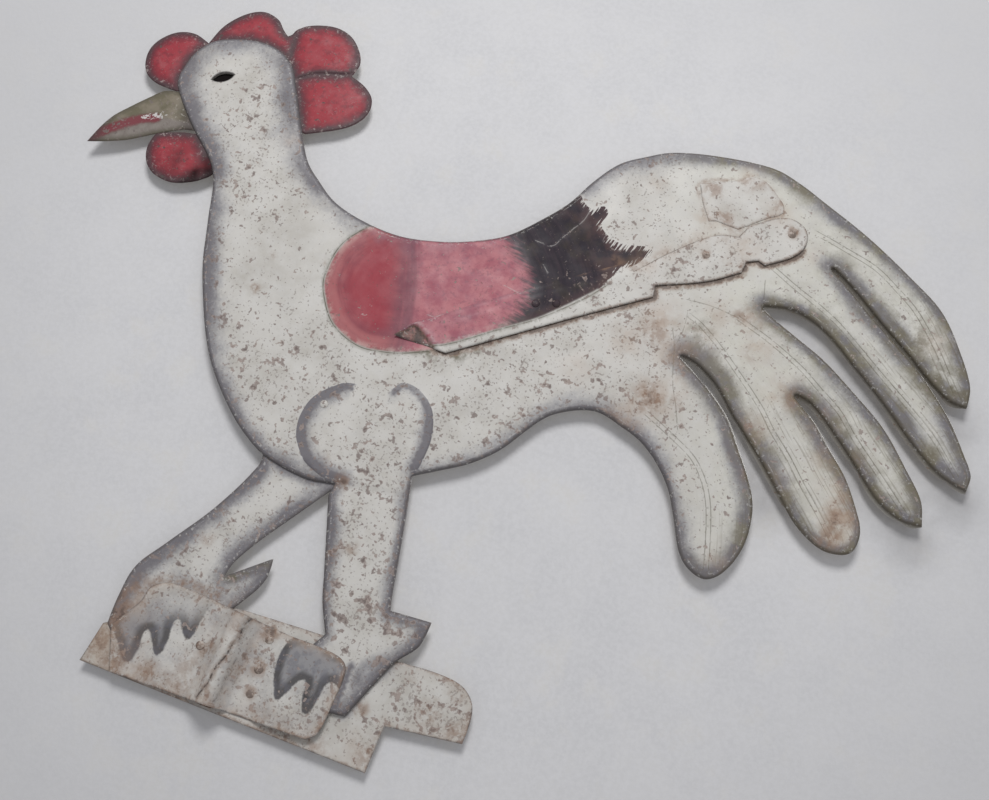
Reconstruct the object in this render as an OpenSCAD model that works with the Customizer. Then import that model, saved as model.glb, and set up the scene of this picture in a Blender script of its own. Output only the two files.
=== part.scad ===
// Weather vane: a pressed sheet-metal rooster that turns on a short steel spindle.
// The vane stands upright: +Z up along the spindle, beak towards -X, painted front towards -Y.
// The origin is the mouth of the spindle's bore. Units are millimetres.

/* [Sheet metal] */
// Thickness of the rooster's pressed skin
skin_t = 1.0; // [0.8:0.1:1.4]
// Depth of the rooster's sheet from its face to the back of its turned edge
press_depth = 2.8; // [2:0.1:4]
// Width of the turned edge, seen from behind
edge_w = 3.0; // [2:0.5:3.5]
// Thickness of the flat sheets: far leg, comb, beak and wattle
flat_t = 1.2; // [0.8:0.1:1.4]
// Thickness of the base plate
base_t = 1.2; // [0.8:0.1:2]
// Thickness of the front strap
strap_t = 1.0; // [0.8:0.1:1.2]
// Thickness of the stiffener strip
strip_t = 1.2; // [0.8:0.1:2]
// Thickness of the tail patch
patch_t = 0.6; // [0.4:0.1:1]

/* [Pivot] */
// Outside diameter of the sleeve tube in the strap's rib
sleeve_od = 12.7; // [12:0.1:12.7]
// Height of the sleeve tube
sleeve_h = 58; // [54:1:60]
// Diameter of the spindle
spindle_d = 9.5; // [8:0.1:9.5]
// Clearance all round between the spindle and the sleeve
running_gap = 0.05; // [0.02:0.01:0.1]
// Diameter of the bearing ball
ball_d = 7; // [5:0.5:7]
// Diameter of the spindle's bore, which takes the mast's rod
mast_d = 6; // [4:0.5:6]
// Depth of the spindle's bore
mast_depth = 25; // [15:1:30]

/* [Rivets] */
// Diameter of a rivet's shank
shank_d = 3.2; // [2:0.1:3.2]
// Diameter of a rivet's head
head_d = 6; // [5:0.1:7]
// Height of a rivet's head
head_h = 0.9; // [0.6:0.1:1.4]

/* [Eye] */
// Length of the eye hole
eye_l = 18; // [14:1:20]
// Height of the eye hole
eye_h = 8; // [5:1:10]

/* [Hidden] */
$fn = 48;
// Length of one facet on a curved outline
facet = 7;
// Overshoot that keeps a cut clean where two faces would touch
eps = 0.5;

// Layers from front to back, measured along Y from the spindle's axis
deck = sleeve_od / 2;
flat_front = deck - flat_t;
body_front = flat_front - press_depth;
strip_front = body_front - strip_t;
patch_front = body_front - patch_t;
base_back = deck + base_t;

// Pivot heights
cup_depth = 2.5;
ball_gap = 0.1;
sleeve_z = 0.5;
plug_h = 7.5;
plug_z = sleeve_z + sleeve_h - plug_h;
spindle_h = plug_z - ball_gap - ball_d + cup_depth;
sleeve_bore_r = spindle_d / 2 + running_gap;

// Strap section, seen from above: the rib clears the sleeve and the right end lies on the near foot
rib_gap = 0.1;
strap_gap = 0.2;
rib_r = deck + rib_gap + strap_t / 2;
strap_far = flat_front - strap_t / 2;
strap_near = body_front - strap_t / 2;
strap_low = deck - strap_t / 2 - strap_gap;

// Where the strap's slopes start and end: beside the rib, and up to the near foot
rib_foot = 13;
rib_slope = 2;
near_foot_x = 41;
near_slope = 10;

// Lengths and heights that the bent sections are drawn to before an outline trims them
strap_reach = 85;
strap_rise = [-10, 80];
strip_reach = 300;
strip_rise = [250, 500];

// Corner and size of the near foot, where the body is solid down to the base plate
foot_at = [40, 10];
foot_size = [64, 56];

// How much narrower the steps of a rivet's rounded head and tail are than the head
head_step = 0.6;
tail_step = 1;

// Where the strip's left end springs away from the body
strip_lift_x = 45;
strip_lift = 2;

// Outlines, seen from the front: [x, z] is a point on a smooth curve, [x, z, 1] is a corner.
head = [[-210, 412], [-211, 427], [-208, 442], [-199, 455], [-186, 462], [-166, 467], [-148, 465],
    [-134, 456], [-125, 442], [-105, 407]];
back = [[-91, 385], [-77, 373], [-59, 361], [-34, 354], [-4, 352], [25, 358], [48, 367], [70, 380],
    [91, 403], [104, 421], [114, 442], [128, 463], [144, 475], [163, 486], [198, 495]];
feather_1 = [[237, 499], [258, 494], [280, 485], [317, 469], [355, 448], [382, 430], [403, 402],
    [414, 381], [415, 366, 1], [403, 367], [386, 376.5], [369.5, 389], [343.5, 407],
    [317.5, 426], [300.5, 436.3], [298.6, 436]];
feather_2 = [[299.3, 434.2], [309.5, 428], [335.5, 409], [362.5, 391], [384.5, 374], [405, 354],
    [422, 331], [429, 319], [428, 308, 1], [411, 312], [391, 324], [360, 349], [333, 369],
    [307, 387], [283, 395], [263, 391.5], [260.5, 390]];
feather_3 = [[262.5, 387.5], [289, 376], [312, 366], [338, 350], [364, 332], [386, 309],
    [401, 291], [406, 274, 1], [392, 273], [373, 281], [351.5, 300.5], [329.5, 319.5],
    [312.5, 332], [302, 334.8], [299.8, 334]];
feather_4 = [[301, 332], [316.5, 320.5], [331.5, 305.5], [348, 289.5], [363, 267], [368, 255],
    [366, 241], [357, 236], [344, 236], [325, 246], [308, 263], [289, 282], [263.5, 305],
    [246.5, 322], [229, 332.5], [218, 335], [216, 334]];
feather_5 = [[217.5, 332], [240.5, 318], [259.5, 302], [274.5, 282], [288, 262.5], [295, 247],
    [297, 223], [291, 202], [280, 190], [267, 192], [257, 201], [246, 223], [236, 241],
    [222, 256], [207, 266]];
belly = [[192, 271], [176, 275], [162, 272], [144, 261], [134, 248], [120, 226], [104, 210],
    [86, 198], [70, 188, 1]];
near_leg = [[79, 148], [88, 104], [90, 98, 1], [118, 100, 1], [116, 83], [105, 68], [100, 57],
    [87, 25, 1], [42, 18, 1], [44, 47], [55, 69, 1], [45, 88], [39, 105], [21, 156, 1]];
breast = [[22, 164, 1], [2, 161], [-27, 165], [-42, 171], [-63, 185], [-88, 209], [-103, 229],
    [-118, 256], [-131, 284], [-141, 315], [-155, 354], [-187, 385]];
body_outline = concat(head, back, feather_1, feather_2, feather_3, feather_4, feather_5, belly,
    near_leg, breast);

comb_outline = [[-209, 406, 1], [-225, 407], [-236, 412], [-242, 422], [-243, 435], [-237, 447],
    [-227, 455], [-215, 457], [-203, 453, 1], [-199, 469], [-191, 482], [-181, 491], [-171, 494],
    [-159, 490], [-148, 480], [-144, 487, 1], [-138, 493], [-127, 498], [-114, 500], [-101, 496],
    [-90, 485], [-86, 475], [-88, 464, 1], [-77, 460], [-67, 452], [-64, 441], [-67, 431],
    [-76, 421], [-89, 413], [-102, 406, 1], [-190, 412, 1]];
beak_outline = [[-178, 407, 1], [-205, 406], [-217, 403], [-224, 395.5], [-230, 388], [-236, 380],
    [-243, 370], [-248, 358], [-252, 343, 1], [-242, 347], [-226, 355], [-210, 366], [-190, 378, 1],
    [-172, 382, 1]];
wattle_outline = [[-207, 368], [-209, 362], [-209, 354], [-206, 346], [-201, 340], [-194, 336],
    [-180, 334.5], [-166, 340], [-158, 346], [-153, 353], [-156, 366], [-172, 379, 1],
    [-188, 376, 1]];
far_leg_outline = [[-34, 172, 1], [-32, 160], [-48, 122], [-69, 88], [-82, 66], [-84, 41],
    [-83, 26, 1], [-62, 7, 1], [-44, 19], [-29, 33], [-3, 73], [4, 89], [3, 103, 1], [-23, 81, 1],
    [-21, 91], [-11, 110], [4, 133], [21, 159, 1], [34, 166, 1], [31, 205], [8, 230], [-20, 226],
    [-38, 194]];
base_outline = [[-90, -2, 1], [-86, 25, 1], [-76, 32, 1], [-62, 58, 1], [0, 65, 1], [57, 68],
    [104, 69], [132, 71], [151, 69], [161, 61], [164, 50], [164, 35, 1], [113, 28, 1],
    [112, -3, 1]];
strap_outline = [[-68, -2, 1], [-80, 26, 1], [-68, 47], [-66, 57], [-59, 63], [-50, 65], [-38, 65],
    [-23, 64], [34, 60], [53, 60], [71, 58], [77, 52], [77, 30], [75, 9], [69, 3, 1], [11, 1, 1],
    [-11, 0, 1]];
strip_outline = [[60, 278, 1], [134, 333, 1], [184, 369, 1], [183, 378, 1], [217, 394], [238, 409, 1],
    [239, 418, 1], [247, 422, 1], [252, 420, 1], [270, 434], [276, 446], [272, 458], [258, 462],
    [243, 454], [233, 446, 1], [228, 435, 1], [218, 433], [207, 427], [185, 406], [165, 383, 1],
    [159, 389, 1], [97, 344], [32, 292], [21, 278, 1]];
patch_outline = [[189, 467, 1], [217, 480, 1], [221, 485, 1], [232, 486], [247, 476], [254, 466],
    [245, 458, 1], [226, 441, 1], [209, 442, 1], [204, 440, 1], [196, 452]];

// Places of the rivets and of the eye, as [x, z]
strip_rivets = [[107, 335], [121, 340], [210, 413], [264, 450]];
hip_rivets = [[-6, 214], [26, 169]];
strap_rivets = [[-19, 34], [22, 53], [23, 33], [24, 17], [60, 30]];
eye_at = [-179, 428];
eye_tilt = 34;

// Closed smooth outline through the points of a path, with sharp turns at its corners
function xz(p) = [p[0], p[1]];
function corner(p) = len(p) == 3;
function unit(v) = v / norm(v);
function heading(path, i, leaving) =
    let (n = len(path), here = xz(path[i]), last = xz(path[(i + n - 1) % n]))
    let (next = xz(path[(i + 1) % n]))
    !corner(path[i]) ? unit(next - last) : leaving ? unit(next - here) : unit(here - last);
function hermite(a, b, u, v, t) =
    (2 * t ^ 3 - 3 * t ^ 2 + 1) * a + (t ^ 3 - 2 * t ^ 2 + t) * u
    + (3 * t ^ 2 - 2 * t ^ 3) * b + (t ^ 3 - t ^ 2) * v;
function stretch(path, i, j) =
    let (a = xz(path[i]), b = xz(path[j]), d = norm(b - a))
    let (steps = corner(path[i]) && corner(path[j]) ? 1 : max(2, round(d / facet)))
    [for (k = [0 : steps - 1])
        hermite(a, b, d * heading(path, i, true), d * heading(path, j, false), k / steps)];
function smooth(path) = [for (i = [0 : len(path) - 1]) each stretch(path, i, (i + 1) % len(path))];

// Band of even thickness along an open line
function side(line, i) =
    let (a = line[max(i - 1, 0)], b = line[min(i + 1, len(line) - 1)], d = unit(b - a))
    [-d[1], d[0]];
function band(line, t) = concat(
    [for (i = [0 : len(line) - 1]) line[i] + side(line, i) * t / 2],
    [for (i = [len(line) - 1 : -1 : 0]) line[i] - side(line, i) * t / 2]);

// Depth of the strap's middle layer on its flat stretches
function strap_middle(x) = x < 0 ? strap_far : x < near_foot_x ? strap_low : strap_near;

// Upright plate between two depths, from a flat outline drawn in X and Z
module between(front, rear) {
    rotate([90, 0, 0]) translate([0, 0, -rear]) linear_extrude(rear - front) children();
}

// Sheet bent to a section seen from above, between two heights
module bent(line, t, rise) {
    translate([0, 0, rise[0]]) linear_extrude(rise[1] - rise[0]) polygon(band(line, t));
}

// Flat sheet between two depths
module sheet(front, rear, outline) {
    between(front, rear) polygon(smooth(outline));
}

// Cuts through every layer for the rivets' shanks
module holes(places) {
    for (p = places) translate([p[0], base_back + eps, p[1]])
        rotate([90, 0, 0]) cylinder(d = shank_d, h = 2 * (base_back + eps));
}

// Rivet from its head's underside at front to its tail's underside at rear
module rivet(place, front, rear) {
    translate([place[0], 0, place[1]]) {
        between(front, rear) circle(d = shank_d);
        between(front - head_h, front) circle(d = head_d - head_step);
        between(front - head_h / 2, front) circle(d = head_d);
        between(rear, rear + head_h / 2) circle(d = head_d - tail_step);
    }
}

module eye_hole() {
    swing = (eye_l ^ 2 + eye_h ^ 2) / (4 * eye_h);
    translate(eye_at) rotate(eye_tilt) intersection() {
        translate([0, swing - eye_h / 2]) circle(r = swing, $fn = 96);
        translate([0, eye_h / 2 - swing]) circle(r = swing, $fn = 96);
    }
}

module foot_area() {
    translate(foot_at) square(foot_size);
}

// Rooster's head, body, tail and near leg: one pressed sheet with its edge turned back
module body_sheet() color("ivory") difference() {
    union() {
        difference() {
            sheet(body_front, flat_front, body_outline);
            between(body_front + skin_t, flat_front + eps)
                offset(delta = -edge_w) polygon(smooth(body_outline));
        }
        between(body_front, deck) intersection() {
            polygon(smooth(body_outline));
            foot_area();
        }
    }
    between(body_front - eps, flat_front) eye_hole();
    holes(concat(strip_rivets, hip_rivets, strap_rivets));
}

module far_leg() color("ivory") difference() {
    sheet(flat_front, deck, far_leg_outline);
    holes(hip_rivets);
}

module comb() color("firebrick") sheet(flat_front, deck, comb_outline);

module beak() color("darkkhaki") sheet(flat_front, deck, beak_outline);

module wattle() color("firebrick") sheet(flat_front, deck, wattle_outline);

module base_plate() color("ivory") difference() {
    sheet(deck, base_back, base_outline);
    holes(strap_rivets);
}

// Strap over both feet, bent round the sleeve into a rib
module front_strap() color("ivory") {
    rib = [for (a = [195 : 15 : 345]) rib_r * [cos(a), sin(a)]];
    line = concat([[-strap_reach, strap_far], [-rib_foot - rib_slope, strap_far]], rib,
        [[rib_foot, strap_low], [near_foot_x - near_slope, strap_low],
            [near_foot_x, strap_near], [strap_reach, strap_near]]);
    difference() {
        intersection() {
            bent(line, strap_t, strap_rise);
            sheet(-base_back, deck, strap_outline);
        }
        holes(strap_rivets);
    }
}

// Long strip across the body and tail, with its left end sprung forwards
module stiffener_strip() color("ivory") difference() {
    line = [[0, strip_front + strip_t / 2 - strip_lift], [strip_lift_x, strip_front + strip_t / 2],
        [strip_reach, strip_front + strip_t / 2]];
    intersection() {
        bent(line, strip_t, strip_rise);
        sheet(strip_front - 2 * strip_lift - eps, body_front, strip_outline);
    }
    holes(strip_rivets);
}

module tail_patch() color("ivory") sheet(patch_front, body_front, patch_outline);

module strip_rivet_set() color("tan")
    for (p = strip_rivets) rivet(p, strip_front, body_front + skin_t);

module strap_rivet_set() color("tan")
    for (p = strap_rivets) rivet(p, strap_middle(p[0]) - strap_t / 2, base_back);

module hip_rivet_set() color("tan")
    for (p = hip_rivets) rivet(p, body_front, deck);

module sleeve_tube() color("saddlebrown") translate([0, 0, sleeve_z]) difference() {
    cylinder(d = sleeve_od, h = sleeve_h);
    translate([0, 0, -eps]) cylinder(r = sleeve_bore_r, h = sleeve_h + 2 * eps);
}

module sleeve_plug() color("saddlebrown")
    translate([0, 0, plug_z]) cylinder(r = sleeve_bore_r, h = plug_h);

// Fixed spindle with a cup for the ball and a blind bore for the mast's rod
module spindle() color("gray") difference() {
    cylinder(d = spindle_d, h = spindle_h);
    translate([0, 0, spindle_h - cup_depth]) cylinder(d = ball_d + 2 * running_gap, h = cup_depth + eps);
    translate([0, 0, -eps]) cylinder(d = mast_d, h = mast_depth + eps);
}

module bearing_ball() color("silver")
    translate([0, 0, spindle_h - cup_depth + ball_d / 2]) sphere(d = ball_d);

body_sheet();
far_leg();
comb();
beak();
wattle();
base_plate();
front_strap();
stiffener_strip();
tail_patch();
strip_rivet_set();  // strip_rivets
strap_rivet_set();  // strap_rivets
hip_rivet_set();  // hip_rivets
sleeve_tube();
sleeve_plug();
spindle();
bearing_ball();
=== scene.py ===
"""Looks of the weather vane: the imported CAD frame, with every sheet rebuilt as a detailed painted piece."""

import math

import bpy
import numpy as np
from mathutils import Matrix, Vector, geometry, kdtree


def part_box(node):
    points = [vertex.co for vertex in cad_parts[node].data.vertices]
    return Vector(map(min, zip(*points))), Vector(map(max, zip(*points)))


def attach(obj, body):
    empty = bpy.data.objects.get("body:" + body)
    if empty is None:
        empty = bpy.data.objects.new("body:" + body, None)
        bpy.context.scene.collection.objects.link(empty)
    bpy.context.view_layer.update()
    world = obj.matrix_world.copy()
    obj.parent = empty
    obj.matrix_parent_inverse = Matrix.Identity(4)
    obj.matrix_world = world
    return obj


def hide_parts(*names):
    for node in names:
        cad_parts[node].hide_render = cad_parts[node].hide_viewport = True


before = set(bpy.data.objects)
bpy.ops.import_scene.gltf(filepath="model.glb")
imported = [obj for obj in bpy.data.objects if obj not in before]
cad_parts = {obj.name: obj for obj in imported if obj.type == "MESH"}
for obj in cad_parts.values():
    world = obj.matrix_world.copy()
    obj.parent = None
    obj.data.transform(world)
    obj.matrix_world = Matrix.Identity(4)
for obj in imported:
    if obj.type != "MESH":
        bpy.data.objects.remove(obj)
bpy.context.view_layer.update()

MM = 0.001
RNG = np.random.default_rng(7)

# ---------------------------------------------------------------- layers, from the frame
BASE_LO, BASE_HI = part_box("base_plate")
BODY_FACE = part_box("body_sheet")[0][1] / MM
FLAT_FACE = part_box("far_leg")[0][1] / MM
STRAP_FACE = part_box("front_strap")[0][1] / MM
DECK = BASE_LO[1] / MM
BASE_BACK = BASE_HI[1] / MM
LEAF_BACK = DECK - 0.05

# Thicknesses and edge rolls, in mm
SKIN = 1.0
STRIP_T = 1.2
PATCH_T = 0.6
HALF_STRAP = 0.5
BODY_ROLL = 4.4
FLAT_ROLL = 1.8

# A loop's point is a corner past this bend, or beside an edge longer than this
CORNER_DEG = 42
LONG_EDGE = 9.5

# ---------------------------------------------------------------- painted shapes, in mm, as x and z
SADDLE = [
    (-27, 352), (-41, 330), (-43, 303), (-37, 288), (-23, 271), (-1, 262), (19, 264), (37, 270),
    (61, 283), (89, 306), (116, 332), (140, 358), (161, 384), (169, 393), (174, 403), (169, 406),
    (160, 404), (148, 402), (138, 405), (132, 411), (134, 420), (129, 426), (119, 421), (110, 429),
    (100, 450), (60, 420), (20, 385)
]
RED_END = [
    (55, 400), (66, 382), (74, 375), (83, 367), (90, 359), (96, 351), (99, 345), (100, 337), (99, 328),
    (96, 318), (90, 300)
]
CRIMSON_END = [(4, 380), (7, 355), (18, 322), (27, 285), (31, 250)]
THIGH_LEFT = [
    (8, 235), (1, 233), (-5, 228), (-11, 222), (-16, 214), (-18, 205), (-18, 196), (-15, 186), (-10, 179),
    (-3, 172), (6, 168), (16, 165), (24, 166)
]
THIGH_RIGHT = [
    (35, 241), (39, 247), (45, 248), (53, 246), (61, 241), (67, 234), (71, 224), (73, 214), (73, 205),
    (72, 194)
]
QUILLS = [
    [(207, 285), (231, 274), (247, 265), (259, 251), (266, 237), (272, 217), (277, 196)],
    [(212, 365), (222, 361), (239, 350), (258, 335), (279, 317), (292, 303), (308, 288), (321, 274),
     (336, 259), (351, 243)],
    [(246, 375), (272, 366), (298, 354), (315, 343), (332, 332), (346, 318), (361, 305), (376, 292),
     (392, 278)],
    [(258, 421), (277, 412), (296, 404), (314, 395), (333, 382), (357, 365), (375, 353), (397, 337),
     (411, 323), (419, 315)],
    [(281, 458), (303, 453), (328, 446), (347, 435), (364, 423), (384, 401), (396, 385), (408, 369)],
]
CREASES = [
    [(205, 350), (210, 338), (213, 326), (217, 312), (224, 297), (230, 282)],
    [(211, 366), (212, 354), (211, 343)],
    [(256, 409), (258, 400), (260, 392)],
    [(208, 376), (226, 377), (246, 375)],
]
FAR_FOOT = [
    (-80, 28), (-71, 17), (-60, 7), (-56, 17), (-56, 31), (-50, 25), (-43, 18), (-40, 29), (-40, 44),
    (-33, 37), (-28, 34), (-25, 45), (-24, 56), (-22, 64), (-29, 68), (-37, 65), (-49, 63), (-62, 58),
    (-71, 49), (-77, 40)
]
NEAR_FOOT = [
    (35, 58), (32, 48), (33, 36), (37, 26), (42, 19), (47, 26), (54, 37), (57, 26), (63, 17), (67, 27),
    (70, 41), (78, 39), (83, 35), (88, 45), (82, 54), (72, 60), (63, 61), (55, 63), (44, 62)
]
REAR_TOE = [
    (80, 54), (81, 40), (80, 30), (83, 22), (90, 24), (93, 34), (97, 46), (104, 60), (112, 74), (118, 92),
    (116, 99), (108, 88), (98, 76), (88, 66)
]
COMB_FOLD = [(-130, 445), (-122, 452), (-115, 457), (-104, 461), (-94, 464), (-86, 469)]
COMB_GAP = [(-144, 489), (-142, 478), (-139, 464)]
SCRATCHES = [
    [(91, 382), (103, 382), (108, 391), (113, 400), (118, 409), (120, 419)],
    [(81, 321), (84, 316), (88, 310)], [(38, 301), (43, 301), (47, 304)], [(132, 368), (135, 363)],
    [(102, 366), (106, 362)], [(81, 341), (94, 339), (100, 339)], [(64, 291), (87, 305)],
    [(6, 196), (12, 206)], [(-2, 180), (4, 188)]
]
SLITS = [
    [(299, 435), (331, 412), (361, 391), (388, 376), (412, 352)],
    [(258, 389), (283, 397), (306, 387), (345, 360), (383, 335), (428, 300)],
    [(301, 333), (325, 318), (344, 304), (381, 281), (405, 262)],
    [(216, 335), (238, 329), (259, 311), (284, 282), (305, 255)],
]
# Hollow under the strip's lifted tip, painted dark: painted shade with rust
TIP_HOLLOW = [
    (21, 277), (27, 284), (32, 290), (40, 287), (46, 283), (53, 278), (60, 275), (50, 275), (36, 275)
]

# Tan spots as x, z, radius and strength
TAN = [
    (196, 353, 15, 0.8), (211, 334, 13, 0.8), (206, 296, 15, 0.95), (195, 280, 13, 0.8),
    (176, 332, 13, 0.6), (220, 312, 10, 0.6), (266, 357, 11, 0.7), (290, 331, 12, 0.7),
    (256, 375, 9, 0.8), (322, 320, 12, 0.6), (333, 296, 11, 0.6), (345, 278, 12, 0.8),
    (352, 262, 13, 1.1), (350, 247, 10, 1.1), (342, 240, 8, 0.7), (232, 375, 12, 0.6),
    (231, 352, 11, 0.5), (223, 488, 9, 0.6), (251, 463, 10, 0.6), (203, 441, 10, 0.7),
    (235, 428, 11, 0.6), (382, 407, 10, 0.5), (283, 439, 9, 0.4), (201, 423, 10, 0.5), (160, 456, 7, 0.4),
    (278, 300, 12, 0.5), (300, 268, 12, 0.35), (170, 390, 12, 0.5), (180, 405, 10, 0.45),
    (-108, 397, 6, 0.7), (150, 300, 12, 0.4), (-80, 16, 14, 1.0), (-72, 4, 14, 1.0), (-48, 2, 14, 0.7),
    (-20, -2, 14, 0.6), (30, 0, 14, 0.4), (108, -2, 12, 0.7), (165, 42, 8, 0.5), (-18, 50, 9, 0.4),
    (-4, 62, 10, 0.6), (-70, 45, 12, 0.7), (60, 4, 12, 0.35), (100, 12, 10, 0.5), (285, 205, 9, 0.4),
    (352, 300, 9, 0.3)
]

# Lines of the beak and the strip
MOUTH = [(-251, 347), (-243, 356), (-235, 364), (-227, 371), (-218, 377), (-213, 379)]
CHIP = [(-221, 377), (-216, 380), (-212, 382), (-207, 384)]
STRIP_FOOT = [
    (60, 276), (134, 331), (184, 366), (183, 376), (217, 392), (238, 407), (240, 417), (253, 418),
    (272, 433)
]
STRIP_TOP = [(21, 278), (32, 292), (97, 344), (159, 389)]

# Stains as x, z, radius and strength
STAINS = [
    (351, 257, 9, 1.0), (349, 244, 8, 0.9), (352, 272, 7, 0.5), (205, 297, 12, 0.75), (193, 344, 13, 0.6),
    (200, 290, 9, 0.6), (248, 376, 7, 0.7), (252, 385, 6, 0.4), (273, 279, 9, 0.35), (297, 330, 10, 0.5),
    (278, 300, 8, 0.45), (27, 167, 6, 0.9), (202, 466, 7, 0.4), (214, 449, 7, 0.5), (222, 478, 6, 0.45),
    (50, 126, 7, 0.5), (38, 118, 7, 0.45), (-86, 277, 4, 0.9), (-71, 163, 8, 0.3), (223, 300, 9, 0.4),
    (285, 268, 7, 0.5), (262, 352, 8, 0.35), (300, 344, 7, 0.35), (221, 338, 7, 0.5), (186, 275, 9, 0.4),
    (140, 392, 5, 0.3), (-47, 312, 3, 0.4), (-84, 305, 4, 0.45), (12, 178, 6, 0.35), (275, 205, 8, 0.35)
]
BASE_STAINS = [
    (-84, 12, 12, 0.8), (-70, 6, 12, 0.75), (-45, 5, 10, 0.6), (-78, 33, 8, 0.7), (-20, 8, 12, 0.5),
    (-14, 33, 6, 0.95), (23, 34, 6, 1.0), (20, 58, 7, 1.0), (-33, 4, 9, 0.5), (-22, 20, 12, 0.45),
    (24, 18, 5, 0.8), (2, 52, 5, 0.6), (95, 33, 5, 0.9), (110, 8, 12, 0.55), (75, 0, 12, 0.45),
    (138, 46, 12, 0.5), (158, 40, 10, 0.6), (40, 4, 14, 0.35), (-55, 24, 8, 0.35), (10, 28, 6, 0.3),
    (120, 60, 9, 0.3), (150, 60, 9, 0.45), (92, 55, 6, 0.4), (-2, 8, 6, 0.7)
]
STRIP_STAINS = [
    (107, 335, 4, 0.35), (210, 413, 4, 0.9), (264, 452, 5, 1.0), (186, 374, 6, 0.6), (238, 416, 6, 0.6),
    (165, 388, 6, 0.7), (172, 396, 6, 0.5), (186, 408, 6, 0.4), (218, 428, 6, 0.4), (226, 412, 6, 0.4)
]
OLIVE_SPOTS = [
    (370, 402, 16, 1), (392, 382, 14, 1), (355, 412, 12, 0.7), (230, 330, 12, 1), (222, 356, 12, 1),
    (402, 330, 10, 0.6), (404, 375, 9, 1), (226, 345, 10, 1), (350, 300, 9, 0.9), (366, 290, 10, 0.9),
    (338, 318, 9, 0.7), (392, 280, 8, 0.6)
]

CRACK = [(-6, 3), (-2, 14), (-1, 25), (2, 33), (3, 40), (5, 47), (5, 55), (7, 62)]
STRIP_SADDLE = [(20, 273), (34, 276), (48, 279), (60, 285), (89, 307), (113, 325), (140, 352), (152, 368)]
PATCH_EDGE = [
    (189, 467), (217, 480), (221, 485), (232, 486), (247, 476), (254, 466), (245, 458), (226, 441),
    (209, 442), (204, 440), (196, 452)
]


# ---------------------------------------------------------------- small geometry helpers
def curve(a, b, leave, reach, count):
    """Points from a up to b on a smooth curve that leaves a and reaches b along the given vectors."""
    out = []
    for k in range(count):
        t = k / count
        out.append((2 * t**3 - 3 * t**2 + 1) * a + (t**3 - 2 * t**2 + t) * leave
                   + (3 * t**2 - 2 * t**3) * b + (t**3 - t**2) * reach)
    return out


def smooth_line(points, closed=False, step=2.0):
    """Points about step mm apart along a smooth line through the given points."""
    pts = np.array(points, float)
    n = len(pts)
    ahead = np.roll(pts, -1, axis=0) - pts if closed else np.diff(pts, axis=0)
    out = []
    for i in range(n if closed else n - 1):
        a, b = pts[i], pts[(i + 1) % n]
        before = pts[i - 1] if closed or i > 0 else a
        after = pts[(i + 2) % n] if closed or i + 2 < n else b
        length = np.linalg.norm(ahead[i])
        u = (b - before) / max(np.linalg.norm(b - before), 1e-9) * length
        v = (after - a) / max(np.linalg.norm(after - a), 1e-9) * length
        out += curve(a, b, u, v, max(2, round(length / step)))
    if not closed:
        out.append(pts[-1])
    return np.array(out)


def smooth_lines(shapes):
    return [smooth_line(shape) for shape in shapes]


def distance(points, line, closed=False):
    """Distance from each point to a line, with the side that it lies on: +1 left, -1 right."""
    a, b = (line, np.roll(line, -1, axis=0)) if closed else (line[:-1], line[1:])
    best = np.full(len(points), 1e9)
    turn = np.ones(len(points))
    for lo in range(0, len(points), 1000):
        p = points[lo : lo + 1000, None, :]
        ab = (b - a)[None]
        t = np.clip(((p - a) * ab).sum(2) / np.maximum((ab**2).sum(2), 1e-12), 0, 1)
        gap = p - (a + t[..., None] * ab)
        d = np.sqrt((gap**2).sum(2))
        near = d.argmin(1)
        rows = np.arange(len(near))
        best[lo : lo + 1000] = d[rows, near]
        cross = (b - a)[near, 0] * gap[rows, near, 1] - (b - a)[near, 1] * gap[rows, near, 0]
        turn[lo : lo + 1000] = np.where(cross >= 0, 1.0, -1.0)
    return best, turn


def inside(points, loops):
    """True for points inside an odd number of the loops."""
    odd = np.zeros(len(points), bool)
    for loop in loops:
        for (x0, z0), (x1, z1) in zip(loop, np.roll(loop, -1, axis=0)):
            if z0 == z1:
                continue
            hit = (z0 > points[:, 1]) != (z1 > points[:, 1])
            odd ^= hit & (points[:, 0] < (x1 - x0) * (points[:, 1] - z0) / (z1 - z0) + x0)
    return odd


def depth_in(points, outline):
    """Distance inside a closed painted shape: positive within, negative outside."""
    loop = smooth_line(outline, closed=True)
    d, _ = distance(points, loop, closed=True)
    return np.where(inside(points, [loop]), d, -d)


def unit(value):
    return np.clip(value, 0, 1)


def most(*values):
    return np.maximum.reduce(values)


def step(value, lo, hi):
    """0 at lo and 1 at hi, with a smooth change between them."""
    t = unit((value - lo) / (hi - lo))
    return t * t * (3 - 2 * t)


def bell(d, width, power=2):
    """1 where d is 0, falling to about a third where it equals the width."""
    return np.exp(-((d / width) ** power))


def oval(points, x, z, wide, high):
    return np.exp(-(((points[:, 0] - x) / wide) ** 2 + ((points[:, 1] - z) / high) ** 2))


def blobs(points, spots):
    """Soft round spots, each given as x, z, radius and strength."""
    total = np.zeros(len(points))
    for x, z, r, strength in spots:
        total = np.maximum(total, strength * bell(np.hypot(points[:, 0] - x, points[:, 1] - z), r))
    return total


def waves(points, size, seed):
    """Smooth random unevenness between about -1 and 1, from a few crossed waves."""
    gen = np.random.default_rng(seed)
    total = np.zeros(len(points))
    for _ in range(9):
        angle, phase = gen.uniform(0, math.tau, 2)
        wave = math.tau / (size * gen.uniform(0.7, 1.6))
        total += np.sin(wave * (points[:, 0] * math.cos(angle) + points[:, 1] * math.sin(angle)) + phase)
    return total / 4.5


# ---------------------------------------------------------------- sheets
def mesh_keys(mesh):
    """The place of each vertex in mm, rounded so that doubled vertices share one."""
    return [tuple(round(c / MM, 2) for c in v.co) for v in mesh.vertices]


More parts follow.
